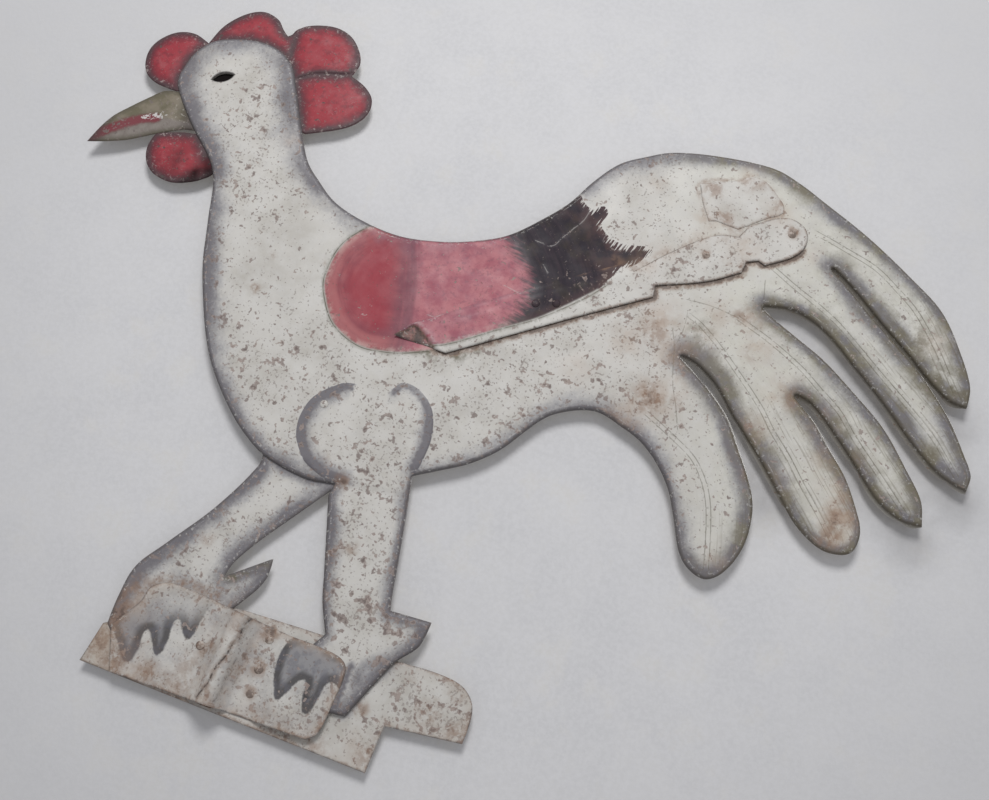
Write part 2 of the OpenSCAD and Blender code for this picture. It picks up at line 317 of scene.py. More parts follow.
def front_loops(node):
    """Outline loops of a node's front faces, in mm, from its CAD mesh: x and z."""
    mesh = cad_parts[node].data
    keys, index = {}, []
    for key in mesh_keys(mesh):
        index.append(keys.setdefault(key, len(keys)))
    places = list(keys)
    used = {}
    for poly in mesh.polygons:
        if poly.normal.y > -0.3:
            continue
        corners = [index[i] for i in poly.vertices]
        for a, b in zip(corners, corners[1:] + corners[:1]):
            used[(a, b)] = used.get((a, b), 0) + 1
    after = {a: b for a, b in used if (b, a) not in used}
    loops = []
    while after:
        loop, here = [], next(iter(after))
        while here in after:
            loop.append((places[here][0], places[here][2]))
            here = after.pop(here)
        if len(loop) > 2:
            loops.append(np.array(loop))
    return loops


def span(loop):
    return np.ptp(loop[:, 0])


def outer_loop(node):
    return max(front_loops(node), key=span)


def loop_normals(loop):
    """Unit vectors square to a closed loop, one at each of its points."""
    ahead = np.roll(loop, -1, axis=0) - np.roll(loop, 1, axis=0)
    return np.stack([ahead[:, 1], -ahead[:, 0]], 1) / np.linalg.norm(ahead, axis=1)[:, None]


def even(loop, spacing):
    """The loop with extra points on smooth curves between its own. Corners and long edges stay straight."""
    n = len(loop)
    ahead = np.roll(loop, -1, axis=0) - loop
    length = np.linalg.norm(ahead, axis=1)
    heading = ahead / length[:, None]
    bend = (heading * np.roll(heading, 1, axis=0)).sum(1)
    corner = bend < math.cos(math.radians(CORNER_DEG))
    sharp = corner | (length > LONG_EDGE) | (np.roll(length, 1) > LONG_EDGE)
    mean = np.roll(loop, -1, axis=0) - np.roll(loop, 1, axis=0)
    mean /= np.linalg.norm(mean, axis=1)[:, None]
    out = []
    for i in range(n):
        j = (i + 1) % n
        u = (heading if sharp[i] else mean)[i] * length[i]
        v = heading[i] * length[i] if sharp[j] else mean[j] * length[i]
        out += curve(loop[i], loop[j], u, v, max(1, math.ceil(length[i] / spacing)))
    return np.array(out)


def place_piece(name, mesh, material, fields, replaces):
    """Puts a finished mesh into the scene as a piece of the vane, with its paint and its fields."""
    for field, values in fields.items():
        values = np.broadcast_to(values, len(mesh.vertices)).astype(np.float32)
        mesh.attributes.new(field, "FLOAT", "POINT").data.foreach_set("value", values)
    piece = bpy.data.objects.new(name, mesh)
    bpy.context.scene.collection.objects.link(piece)
    mesh.materials.append(material)
    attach(piece, "vane")
    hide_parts(replaces)


class Sheet:
    """A flat sheet cut to a CAD node's outline: dense points with their distance to the edge."""

    RINGS = (0.35, 0.8, 1.4, 2.2, 3.2)
    BIG_HOLE = 6.0

    def __init__(self, node, grid, spacing, lines=()):
        self.node = node
        loops = [even(loop, spacing) for loop in front_loops(node)]
        loops.sort(key=lambda loop: -span(loop))
        self.loops = [loops[0]] + [loop for loop in loops[1:] if span(loop) > self.BIG_HOLE]
        self.mesh_points(grid, lines)
        self.d = self.edge_distance(self.points)
        self.outer = distance(self.points, self.loops[0], closed=True)[0]
        self.fields = {"edge": self.d}

    def edge_distance(self, points):
        best = np.full(len(points), 1e9)
        for loop in self.loops:
            best = np.minimum(best, distance(points, loop, closed=True)[0])
        return best

    def scatter(self, grid):
        """The border's points, rings of points beside it, and a loose grid of points over the rest."""
        edge = np.concatenate(self.loops)
        rings = []
        for loop in self.loops:
            out = loop_normals(loop)
            for d in self.RINGS:
                rings += [(loop + out * d, d), (loop - out * d, d)]
        lo, hi = edge.min(0), edge.max(0)
        cols = np.arange(lo[0], hi[0], grid)
        rows = np.arange(lo[1], hi[1], grid * 0.866)
        hexes = np.array([(x + (grid / 2 if j % 2 else 0), z) for j, z in enumerate(rows) for x in cols])
        hexes += RNG.uniform(-0.12, 0.12, hexes.shape) * grid
        keep = [edge]
        for points, least in rings + [(hexes, self.RINGS[-1] + grid * 0.5)]:
            points = points[inside(points, self.loops)]
            keep.append(points[self.edge_distance(points) > least * 0.93])
        return keep

    def along_lines(self, keep, lines):
        """The scattered points cleared beside the given lines, with the lines' own points added."""
        extra = [line[inside(line, self.loops) & (self.edge_distance(line) > 0.6)] for line in lines]
        extra = np.concatenate(extra)
        tree = kdtree.KDTree(len(extra))
        for i, p in enumerate(extra):
            tree.insert((p[0], p[1], 0), i)
        tree.balance()
        for part in range(1, len(keep)):
            gap = np.array([tree.find((p[0], p[1], 0))[2] for p in keep[part]])
            keep[part] = keep[part][gap > 0.7] if len(gap) else keep[part]
        return keep + [extra]

    def mesh_points(self, grid, lines):
        """Triangles between all the points, kept inside the outline and turned one way."""
        keep = self.scatter(grid)
        if lines:
            keep = self.along_lines(keep, lines)
        edges, start = [], 0
        for loop in self.loops:
            edges += [(start + i, start + (i + 1) % len(loop)) for i in range(len(loop))]
            start += len(loop)
        found = geometry.delaunay_2d_cdt([Vector(p) for p in np.concatenate(keep)], edges, [], 0, 1e-4)
        self.points = np.array([tuple(v) for v in found[0]])
        faces = np.array(found[2])
        faces = faces[inside(self.points[faces].mean(axis=1), self.loops)]
        flat = self.points[faces]
        turn = np.cross(flat[:, 1] - flat[:, 0], flat[:, 2] - flat[:, 0])
        faces, turn = faces[np.abs(turn) > 1e-5], turn[np.abs(turn) > 1e-5]
        faces[turn < 0] = faces[turn < 0][:, ::-1]
        self.faces = faces

    def outward(self):
        """Unit vectors that point away from the sheet at its border points, and zero elsewhere."""
        out, start = np.zeros((len(self.points), 2)), 0
        for loop in self.loops:
            away = loop_normals(loop)
            away[inside(loop + away * 0.3, self.loops)] *= -1
            out[start : start + len(loop)] = away
            start += len(loop)
        return out

    def build(self, name, front, back, material, flare=None):
        """Closed piece between a front and a back surface, given as depths for each point."""
        count = len(self.points)
        rear = self.points if flare is None else self.points + self.outward() * flare[:, None]
        layers = [np.column_stack([flat[:, 0], np.broadcast_to(depth, count), flat[:, 1]])
                  for flat, depth in ((self.points, front), (rear, back))]
        triangles = self.faces.tolist()
        pairs = {(f[i], f[(i + 1) % 3]) for f in triangles for i in range(3)}
        rim = sorted(pair for pair in pairs if pair[::-1] not in pairs)
        polygons = [tuple(f) for f in triangles] + [tuple(v + count for v in reversed(f)) for f in triangles]
        polygons += [(b, a, a + count, b + count) for a, b in rim]
        mesh = bpy.data.meshes.new(name)
        mesh.from_pydata((np.concatenate(layers) * MM).tolist(), [], polygons)
        mesh.validate()
        mesh.update()
        mesh.shade_smooth()
        ends = {frozenset(p) for p in rim} | {frozenset((a + count, b + count)) for a, b in rim}
        sharp = mesh.attributes.new("sharp_edge", "BOOLEAN", "EDGE")
        sharp.data.foreach_set("value", [frozenset(e.vertices) in ends for e in mesh.edges])
        fields = {field: np.tile(np.broadcast_to(values, count), 2) for field, values in self.fields.items()}
        fields["rear"] = np.repeat([0.0, 1.0], count)
        place_piece(name, mesh, material, fields, self.node)


# ---------------------------------------------------------------- materials
SMOOTH = (2, 0.5)
EVEN = (3, 0.6)
COARSE = (4, 0.65)


class Paint:
    """A node material. Each call adds a node and returns its output."""

    def __init__(self, name):
        self.material = bpy.data.materials.new(name)
        self.material.use_nodes = True
        self.tree = self.material.node_tree
        self.tree.nodes.clear()
        self.output = self.add("ShaderNodeOutputMaterial")
        self.shader = self.add("ShaderNodeBsdfPrincipled")
        self.tree.links.new(self.shader.outputs[0], self.output.inputs["Surface"])
        self.place = self.add("ShaderNodeTexCoord").outputs["Object"]

    def add(self, kind, **settings):
        node = self.tree.nodes.new(kind)
        for key, value in settings.items():
            setattr(node, key, value)
        return node

    def put(self, socket, value):
        if isinstance(value, bpy.types.NodeSocket):
            self.tree.links.new(value, socket)
        elif isinstance(value, tuple) and len(value) == 3 and socket.type == "RGBA":
            socket.default_value = (*value, 1.0)
        else:
            socket.default_value = value

    def fill(self, node, **values):
        for key, value in values.items():
            self.put(node.inputs[key], value)
        return node.outputs

    def field(self, name):
        return self.add("ShaderNodeAttribute", attribute_name=name).outputs["Fac"]

    def math(self, operation, a, b=0.0):
        node = self.add("ShaderNodeMath", operation=operation)
        self.put(node.inputs[0], a)
        self.put(node.inputs[1], b)
        return node.outputs[0]

    def mul(self, a, b):
        return self.math("MULTIPLY", a, b)

    def plus(self, a, b):
        return self.math("ADD", a, b)

    def less(self, a, b):
        return self.math("SUBTRACT", a, b)

    def near(self, value, middle, lo, hi):
        """Strong where the value is close to the middle one."""
        return self.ramp(self.math("ABSOLUTE", self.less(value, middle)), lo, hi)

    def swing(self, noise, amount):
        """Noise as a push to either side of 0."""
        return self.mul(self.less(noise, 0.5), amount)

    def noise(self, size, detail=2.0, rough=0.5, warp=0.0, place=None):
        """Noise whose features are about size mm across."""
        node = self.add("ShaderNodeTexNoise")
        return self.fill(node, Vector=place or self.place, Scale=1.0 / (size * MM), Detail=detail,
                         Roughness=rough, Distortion=warp)["Fac"]

    def streaks(self, angle, along, across, detail=3, rough=0.6):
        """Noise in streaks that run at an angle in the sheet's plane, with their mm along and across."""
        node = self.add("ShaderNodeMapping", vector_type="TEXTURE")
        turn, size = (0, -math.radians(angle), 0), (along, 1, across)
        place = self.fill(node, Vector=self.place, Rotation=turn, Scale=size)[0]
        return self.noise(1.0, detail, rough, 0.0, place)

    def guided(self, across, along, fine, coarse):
        """Noise drawn out along a line: fine mm wide and coarse mm long, from two distance fields."""
        place = self.add("ShaderNodeCombineXYZ")
        place = self.fill(place, X=self.math("DIVIDE", across, fine), Y=self.math("DIVIDE", along, coarse))
        return self.fill(self.add("ShaderNodeTexNoise"), Vector=place[0], Scale=1.0, Detail=3.0)["Fac"]

    def ramp(self, value, lo, hi, start=0.0, end=1.0):
        node = self.add("ShaderNodeMapRange", interpolation_type="SMOOTHSTEP")
        for socket, number in zip(node.inputs, (value, lo, hi, start, end)):
            self.put(socket, number)
        return node.outputs[0]

    def cloud(self, size, lo, hi, start=0.0, end=1.0, grain=EVEN):
        """Soft patches: noise of a size in mm, sharpened between two of its levels."""
        return self.ramp(self.noise(size, *grain), lo, hi, start, end)

    def mix(self, amount, a, b):
        node = self.add("ShaderNodeMix", data_type="RGBA")
        self.put(node.inputs[0], amount)
        self.put(node.inputs[6], a)
        self.put(node.inputs[7], b)
        return node.outputs[2]

    def tint(self, colour, other, cover, strength):
        """The colour, with another over it as far as the cover times the strength."""
        return self.mix(self.mul(cover, strength), colour, other)

    def sheen(self, value):
        self.put(self.shader.inputs["Specular IOR Level"], value)

    def finish(self, colour, rough, height, height_mm=0.16, **fixed):
        self.fill(self.shader, **{"Base Color": colour, "Roughness": rough})
        for key, value in fixed.items():
            self.shader.inputs[key.replace("_", " ")].default_value = value
        bump = self.add("ShaderNodeBump")
        self.fill(bump, Distance=height_mm * MM, Height=height)
        self.put(self.shader.inputs["Normal"], bump.outputs[0])
        return self.material


CREAM = (0.622, 0.602, 0.562)
CREAM_DULL = (0.49, 0.465, 0.42)
CREAM_TAIL = (0.618, 0.603, 0.538)
PURPLE_GREY = (0.125, 0.116, 0.135)
BLUE_GREY = (0.245, 0.245, 0.275)
OLIVE_BROWN = (0.15, 0.13, 0.085)
RUST = (0.265, 0.165, 0.112)
RUST_DARK = (0.082, 0.055, 0.045)
RED = (0.345, 0.058, 0.072)
RED_DEEP = (0.235, 0.036, 0.055)
BLACK = (0.03, 0.024, 0.032)
PAINT_SHEEN = 0.42


def rear_paint(p, colour):
    """Dull, plain paint on the back of a sheet."""
    plain = p.mix(p.cloud(34, 0.36, 0.66), (0.44, 0.42, 0.38), (0.35, 0.325, 0.29))
    specks = p.mul(p.cloud(5, 0.62, 0.68, grain=(3, 0.55, 0.2)), 0.6)
    return p.mix(p.field("rear"), colour, p.mix(specks, plain, RUST))


def wear(p, colour, density, light=1.0):
    """Rust specks and fine dots over a colour, as thick as the density says. Gives colour and pits."""
    dense = p.mul(density, p.cloud(34, 0.36, 0.62, 0.45, 1.25, grain=(2, 0.6)))
    blotch = p.plus(p.noise(4.4, 2, 0.5, 0.2), p.mul(dense, 0.145))
    specks = p.ramp(blotch, 0.692, 0.735)
    cores = p.ramp(blotch, 0.785, 0.84)
    dots = p.ramp(p.plus(p.noise(1.9, 2, 0.5), p.mul(dense, 0.12)), 0.672, 0.72)
    deep, pale = (tuple(c * light for c in rust) for rust in ((0.235, 0.19, 0.175), (0.36, 0.29, 0.26)))
    colour = p.tint(colour, p.mix(p.cloud(9, 0.35, 0.65, grain=SMOOTH), deep, pale), specks, 0.84)
    colour = p.tint(colour, (0.1, 0.072, 0.064), cores, 0.55)
    colour = p.tint(colour, (0.22, 0.175, 0.16), dots, 0.5)
    return colour, p.math("MAXIMUM", specks, dots)


def stained(p, colour, stain):
    """Brown rust that bleeds through the paint."""
    broken = p.mul(stain, p.cloud(6, 0.34, 0.62, 0.3, 1.2, grain=(4, 0.68)))
    colour = p.tint(colour, RUST, p.ramp(broken, 0.04, 0.75), 0.66)
    return p.tint(colour, RUST_DARK, p.ramp(broken, 0.68, 1.1), 0.62)


def tanned(p, colour, tan):
    """Soft tan blush where rust shows faintly through the paint."""
    soft = p.mul(tan, p.cloud(11, 0.34, 0.62, 0.25, 1.1, grain=COARSE))
    return p.tint(colour, (0.4, 0.275, 0.19), soft, 0.62)


def saddle_red(p, depth, deep, height):
    """Brushed crimson that turns pink past its seam, and worn along the saddle's border."""
    arcs = p.guided(depth, height, 5.0, 38)
    strokes = p.guided(deep, height, 3.4, 45)
    cloudy = p.noise(15, 4, 0.65)
    pink = p.mix(p.ramp(cloudy, 0.33, 0.66), (0.49, 0.175, 0.195), (0.35, 0.085, 0.118))
    pink = p.tint(pink, (0.23, 0.075, 0.105), p.cloud(3.4, 0.54, 0.66), 0.45)
    crimson = p.mix(p.ramp(p.plus(arcs, p.swing(cloudy, 0.8)), 0.28, 0.74), RED, RED_DEEP)
    plum = p.mul(p.ramp(deep, 24, 6), p.cloud(14, 0.36, 0.6, 0.35, 1.0, grain=COARSE))
    crimson = p.tint(crimson, (0.205, 0.06, 0.088), plum, 0.5)
    margin = p.ramp(p.plus(depth, p.swing(arcs, 16)), 16, 4)
    crimson = p.tint(crimson, (0.43, 0.145, 0.145), margin, 0.58)
    core = p.mul(p.ramp(p.plus(depth, p.mul(arcs, 16)), 21, 33), p.ramp(deep, 8, 20))
    crimson = p.tint(crimson, (0.335, 0.022, 0.04), core, 0.7)
    wash = p.mix(p.ramp(p.plus(deep, p.mul(strokes, 9)), -3, 12), pink, crimson)
    seam = p.near(deep, 2.0, 11.0, 1.0)
    wash = p.tint(wash, (0.165, 0.05, 0.075), seam, p.ramp(strokes, 0.3, 0.65, 0.3, 0.68))
    smoky = p.mul(p.ramp(p.field("edge"), 20, 3), p.cloud(18, 0.35, 0.6))
    wash = p.tint(wash, (0.195, 0.085, 0.125), smoky, 0.45)
    worn_side = p.mul(p.ramp(depth, 7, 1), p.cloud(8, 0.42, 0.6, grain=(4, 0.7)))
    return p.tint(wash, (0.56, 0.42, 0.38), worn_side, 0.6)


def saddle_black(p, depth, red, height):
    """Black with brushed streaks and brown, worn patches."""
    fibres = p.guided(red, height, 2.2, 24)
    black = p.tint(BLACK, (0.062, 0.042, 0.052), p.ramp(fibres, 0.4, 0.72), 0.5)
    black = p.tint(black, (0.055, 0.045, 0.034), p.cloud(17, 0.47, 0.62, grain=COARSE), 0.5)
    brown = p.mul(p.cloud(22, 0.44, 0.6), p.ramp(red, -30, -62))
    black = p.tint(black, (0.1, 0.058, 0.054), brown, 0.55)
    return p.tint(black, (0.15, 0.086, 0.082), p.ramp(depth, 9, 1), 0.35)


def saddle_colours(p, colour):
    """Red saddle that turns black towards the tail, with brushed streaks and a ragged black end."""
    depth, red, deep = p.field("saddle"), p.field("red_side"), p.field("crimson_side")
    split = p.add("ShaderNodeSeparateXYZ")
    p.put(split.inputs[0], p.place)
    height = p.math("DIVIDE", split.outputs[2], MM)
    hairs = p.streaks(74, 13, 1.2)
    tufts = p.streaks(74, 24, 6, 2, 0.55)
    frayed = p.plus(p.swing(hairs, 40), p.swing(tufts, 24))
    ragged = p.mul(frayed, p.ramp(red, -44, -70))
    cover = p.ramp(p.plus(depth, ragged), -0.4, 2.2)
    cover = p.mul(cover, p.ramp(p.less(depth, 0.55), 0.0, 0.5))
    fingers = p.streaks(-8, 15, 2.4)
    edge = p.plus(red, p.swing(fingers, 26))
    coat = p.mix(p.ramp(edge, -6, 9), saddle_black(p, depth, red, height), saddle_red(p, depth, deep, height))
    scuffs = p.cloud(8, 0.645, 0.685, grain=(6, 0.78, 1.6))
    coat = p.tint(coat, (0.5, 0.42, 0.4), scuffs, 0.55)
    gloss = p.mul(p.mul(cover, p.ramp(red, 0, -12)), -0.3)
    p.sheen(p.plus(gloss, PAINT_SHEEN))
    return p.mix(cover, colour, coat)


def cream_sheet(name, saddle=False, toes=False):
    """Old cream paint with airbrushed grey, rust and scribed lines, driven by the sheet's fields."""
    p = Paint(name)
    edge, shade, tail = p.field("edge"), p.field("shade"), p.field("tail")
    colour = p.mix(p.cloud(34, 0.34, 0.7, grain=(4, 0.6)), CREAM, CREAM_DULL)
    colour = p.tint(colour, CREAM_TAIL, tail, p.cloud(26, 0.3, 0.6, 0.35, 1.0))
    mottle = p.cloud(7, 0.32, 0.72, grain=COARSE)
    colour = p.tint(colour, (0.67, 0.66, 0.64), mottle, 0.36)
    spray = p.plus(shade, p.swing(p.noise(2.4, 3, 0.7), 0.55))
    spray = p.plus(spray, p.swing(p.noise(16, 3, 0.6), 0.7))
    grey = p.mix(p.ramp(shade, 0.25, 0.85), BLUE_GREY, PURPLE_GREY)
    brown = p.mix(p.cloud(13, 0.44, 0.6), OLIVE_BROWN, PURPLE_GREY)
    brown = p.mix(p.ramp(shade, 0.2, 0.7), (0.27, 0.255, 0.21), brown)
    grey = p.tint(grey, brown, tail, p.cloud(30, 0.4, 0.56, grain=SMOOTH))
    colour = p.tint(colour, grey, p.ramp(spray, 0.06, 0.9), 0.9)
    barbs = p.guided(p.field("across"), p.field("along"), 1.3, 38)
    barbs = p.mul(p.ramp(barbs, 0.53, 0.63), p.field("barbs"))
    colour = p.tint(colour, (0.155, 0.13, 0.085), barbs, 0.48)
    # Olive-brown paint from the olive field, which also carries painted shadow below the stiffener strip
    colour = p.tint(colour, OLIVE_BROWN, p.field("olive"), p.cloud(9, 0.38, 0.62, grain=COARSE))
    if saddle:
        colour = saddle_colours(p, colour)
    else:
        p.sheen(PAINT_SHEEN)
    if toes:
        blade = p.field("toe")
        streaks = p.streaks(68, 14, 3.2, 2, 0.5)
        middle = p.ramp(p.plus(blade, p.mul(streaks, 3)), 4.8, 9.0)
        ink = p.mix(middle, (0.055, 0.051, 0.055), (0.27, 0.265, 0.275))
        ink = p.tint(ink, (0.115, 0.115, 0.145), p.cloud(8, 0.45, 0.6), 0.45)
        blade = p.plus(blade, p.swing(p.noise(2.4, 3, 0.7), 1.8))
        cover = p.mul(p.ramp(blade, -0.5, 1.0), p.field("toe_wash"))
        colour = p.tint(colour, ink, cover, 0.92)
    scribe = p.mul(p.field("scribe"), p.cloud(9, 0.25, 0.55, 0.5, 1.0, grain=SMOOTH))
    colour = p.tint(colour, (0.11, 0.098, 0.065), scribe, 0.82)
    colour, pits = wear(p, colour, p.field("speck"))
    colour = tanned(p, colour, p.field("tan"))
    colour = stained(p, colour, p.field("stain"))
    # Pale scratches, and a painted highlight along the strip's folded tip
    scratch_and_highlight = p.mul(p.field("scratch_and_highlight"), p.cloud(4, 0.36, 0.5))
    colour = p.tint(colour, (0.55, 0.52, 0.5), scratch_and_highlight, 0.5)
    # Dark cracks from the crack field, which also carries painted shadow below the strip and in the hollow
    # under its lifted tip
    crack = p.mul(p.field("crack"), p.cloud(3.2, 0.4, 0.56, 0.2, 1.0))
    colour = p.mix(crack, colour, (0.05, 0.036, 0.032))
    ragged_edge = p.plus(edge, p.swing(p.noise(5, 3, 0.65), 3.2))
    rim = p.mix(tail, (0.108, 0.098, 0.098), (0.105, 0.088, 0.06))
    colour = p.tint(colour, rim, p.ramp(ragged_edge, 2.6, 0.6), 0.74)
    glint = p.near(edge, 2.9, 0.5, 0.1)
    glint = p.mul(glint, p.cloud(4, 0.5, 0.62, grain=(5, 0.78)))
    colour = p.tint(colour, (0.56, 0.55, 0.53), glint, 0.42)
    flecks = p.mul(p.cloud(2.3, 0.6, 0.66), p.ramp(edge, 6.5, 3.0))
    colour = p.tint(colour, (0.58, 0.57, 0.54), flecks, 0.5)
    colour = rear_paint(p, colour)
    height = p.less(p.mul(p.noise(1.1, 3, 0.6), 0.18), p.mul(pits, 0.5))
    height = p.less(height, p.mul(scribe, 0.7))
    rough = p.plus(p.cloud(14, 0.3, 0.7, 0.42, 0.6), p.mul(pits, 0.25))
    return p.finish(colour, rough, height)


def red_sheet(name):
    """Comb and wattle: red lobes that darken towards their borders, with pale chips."""
    p = Paint(name)
    lobe, dark = p.field("lobe"), p.field("dark")
    wander = p.swing(p.noise(8, 3, 0.65), 9)
    near = p.plus(lobe, wander)
    colour = p.mix(p.ramp(near, 2, 11), (0.12, 0.028, 0.038), (0.34, 0.034, 0.048))
    blush = p.mul(p.cloud(12, 0.52, 0.66, grain=COARSE), p.ramp(lobe, 5, 12))
    colour = p.tint(colour, (0.38, 0.12, 0.13), blush, 0.42)
    colour = p.tint(colour, (0.155, 0.024, 0.034), p.cloud(5, 0.5, 0.66), 0.5)
    ragged = p.swing(p.noise(3.4, 3, 0.7), 5.5)
    rim = p.ramp(p.plus(lobe, ragged), 5.0, 0.9)
    colour = p.tint(colour, (0.072, 0.046, 0.05), rim, 0.84)
    frost = p.mul(p.cloud(2.4, 0.57, 0.66, grain=(6, 0.8, 1.2)), p.cloud(13, 0.42, 0.6, grain=SMOOTH))
    colour = p.tint(colour, (0.46, 0.28, 0.28), frost, 0.58)
    colour, pits = wear(p, colour, p.field("speck"), 0.3)
    chips = p.mul(p.cloud(3.2, 0.575, 0.635, grain=(5, 0.75)), p.ramp(lobe, 7.5, 2.5, 0.1, 1.0))
    colour = p.tint(colour, (0.42, 0.35, 0.33), chips, 0.62)
    # Near black where the dark field says: painted shade behind the eye hole, and the wattle's dark patches
    colour = p.mix(dark, colour, (0.01, 0.008, 0.008))
    colour = rear_paint(p, colour)
    height = p.less(p.mul(p.noise(1.2, 3, 0.6), 0.2), p.mul(pits, 0.4))
    p.sheen(p.ramp(dark, 0.2, 1.0, 0.3, 0.02))
    return p.finish(colour, p.cloud(11, 0.3, 0.7, 0.42, 0.6), height)


def beak_sheet(name):
    """Olive-brown beak with a red mouth line and a pale chip."""
    p = Paint(name)
    edge, jaw = p.field("edge"), p.field("jaw")
    upper = p.mix(p.cloud(9, 0.35, 0.7, grain=(4, 0.6)), (0.135, 0.118, 0.072), (0.225, 0.19, 0.14))
    lower = p.mix(p.cloud(7, 0.35, 0.7, grain=(4, 0.6)), (0.25, 0.22, 0.195), (0.19, 0.16, 0.14))
    colour = p.mix(p.ramp(jaw, -2.0, 2.0), lower, upper)
    colour = p.tint(colour, (0.088, 0.076, 0.05), p.ramp(edge, 5.0, 0.5), 0.8)
    wobble = p.swing(p.noise(3, 3, 0.6), 3.0)
    mouth = p.plus(p.field("mouth"), wobble)
    colour = p.tint(colour, (0.1, 0.058, 0.045), p.ramp(mouth, 6.5, 2.0), 0.72)
    colour = p.tint(colour, (0.185, 0.024, 0.036), p.ramp(mouth, 5.0, 2.0), 0.92)
    colour = p.mix(p.field("dark"), colour, (0.06, 0.045, 0.044))
    chip = p.ramp(p.plus(p.field("chip"), p.mul(wobble, 3.2)), 2.4, 1.6)
    chip = p.mul(chip, p.cloud(2.0, 0.46, 0.52))
    colour = p.tint(colour, (0.62, 0.6, 0.58), chip, 0.9)
    colour, pits = wear(p, colour, 0.45, 0.6)
    flecks = p.mul(p.cloud(2.6, 0.57, 0.63, grain=(4, 0.7)), p.field("flecks"))
    colour = p.tint(colour, (0.5, 0.47, 0.42), flecks, 0.6)
    colour = rear_paint(p, colour)
    height = p.less(p.mul(p.noise(1.2, 3, 0.6), 0.2), p.mul(pits, 0.4))
    return p.finish(colour, 0.5, height, Specular_IOR_Level=0.35)


def rusty_steel(name, bright=0.0):
    """Brown rusty steel, or brighter worn steel."""
    p = Paint(name)
    colour = p.mix(p.cloud(5, 0.35, 0.65, grain=COARSE), (0.105, 0.055, 0.032), (0.215, 0.105, 0.05))
    colour = p.mix(p.cloud(2, 0.55, 0.7), colour, RUST_DARK)
    colour = p.mix(bright, colour, (0.42, 0.41, 0.4))
    rough, height = p.cloud(3, 0.3, 0.7, 0.5, 0.8), p.noise(1.4, *COARSE)
    return p.finish(colour, rough, height, 0.25, Metallic=0.35 + 0.5 * bright)


def floor_paint():
    """Pale floor that fades out towards its edge and is clear from behind, with painted shade away from its
    middle and painted shadow behind the tail's slits.
    """
    p = Paint("pale_floor")
    cloudy = p.cloud(48, 0.32, 0.68, grain=(5, 0.65))
    colour = p.mix(cloudy, (0.68, 0.675, 0.68), (0.638, 0.636, 0.646))
    warm = p.cloud(30, 0.52, 0.68, grain=(4, 0.6))
    colour = p.tint(colour, (0.695, 0.68, 0.655), warm, 0.6)
    colour = p.tint(colour, (0.735, 0.732, 0.745), p.cloud(3.5, 0.35, 0.65, grain=COARSE), 0.45)
    # Darker away from the floor's middle: a painted fall-off of the light
    colour = p.mix(p.field("far"), colour, (0.585, 0.583, 0.59))
    # Darker behind the tail's slits: painted shadow
    colour = p.tint(colour, (0.17, 0.16, 0.155), p.field("slit"), 0.42)
    p.finish(colour, 0.75, p.noise(3, 4, 0.6), 0.12, Specular_IOR_Level=0.2)
    ray = p.add("ShaderNodeLightPath")
    seen = p.less(1.0, p.add("ShaderNodeNewGeometry").outputs["Backfacing"])
    seen = p.mul(seen, p.less(1.0, ray.outputs["Is Shadow Ray"]))
    seen = p.mul(seen, p.field("cover"))
    clear = p.add("ShaderNodeBsdfTransparent")
    blend = p.add("ShaderNodeMixShader")
    p.put(blend.inputs[0], seen)
    p.put(blend.inputs[1], clear.outputs[0])
    p.put(blend.inputs[2], p.shader.outputs[0])
    p.put(p.output.inputs["Surface"], blend.outputs[0])
    return p.material


# ---------------------------------------------------------------- pieces
def rolled(d, drop, width=FLAT_ROLL):
    """How far the turned edge falls back at a distance from the border."""
    t = unit(1 - d / width)
    return drop * (1 - np.sqrt(np.maximum(1 - t**2, 0)))


def scribed(points, lines, width):
    """1 on a thin line, 0 beside it."""
    total = np.zeros(len(points))
    for line in lines:
        total = np.maximum(total, 1 - distance(points, line)[0] / width)
    return unit(total)


def beside(line, gap):
    """The same line moved sideways."""
    ahead = np.gradient(line, axis=0)
    ahead /= np.linalg.norm(ahead, axis=1)[:, None]
    return line + np.stack([-ahead[:, 1], ahead[:, 0]], 1) * gap


def ribbons(lines, width):
    return [beside(line, k * width) for line in lines for k in (-1, 0, 1)]


CREAM_FIELDS = ("shade", "olive", "scribe", "speck", "stain", "crack", "saddle", "red_side", "crimson_side",
                "toe", "toe_wash", "tan", "scratch_and_highlight", "tail", "barbs", "across", "along")


def blank(sheet):
    """Zero for every field that the cream paint reads and the sheet hasn't set."""
    for field in CREAM_FIELDS:
        sheet.fields.setdefault(field, 0.0)


def saddle_at(pts):
    """Depth inside the saddle, and distances past its two colour changes."""
    red, red_turn = distance(pts, smooth_line(RED_END))
    deep, deep_turn = distance(pts, smooth_line(CRIMSON_END))
    return {"saddle": depth_in(pts, SADDLE), "red_side": -red * red_turn, "crimson_side": -deep * deep_turn}


def near_line(pts, line, width):
    """1 on a line, falling to 0 beside it."""
    return bell(distance(pts, smooth_line(line))[0], width)


def feather_fields(pts):
    """Distance across and along the nearest quill."""
    across, along, best = np.zeros(len(pts)), np.zeros(len(pts)), 1e9
    for points in QUILLS:
        line = smooth_line(points)
        d, turn = distance(pts, line)
        way = (line[-1] - line[0]) / np.linalg.norm(line[-1] - line[0])
        near = d < best
        across[near], along[near] = (d * turn)[near], ((pts - line[0]) @ way)[near]
        best = np.minimum(best, d)
    return across, along, best


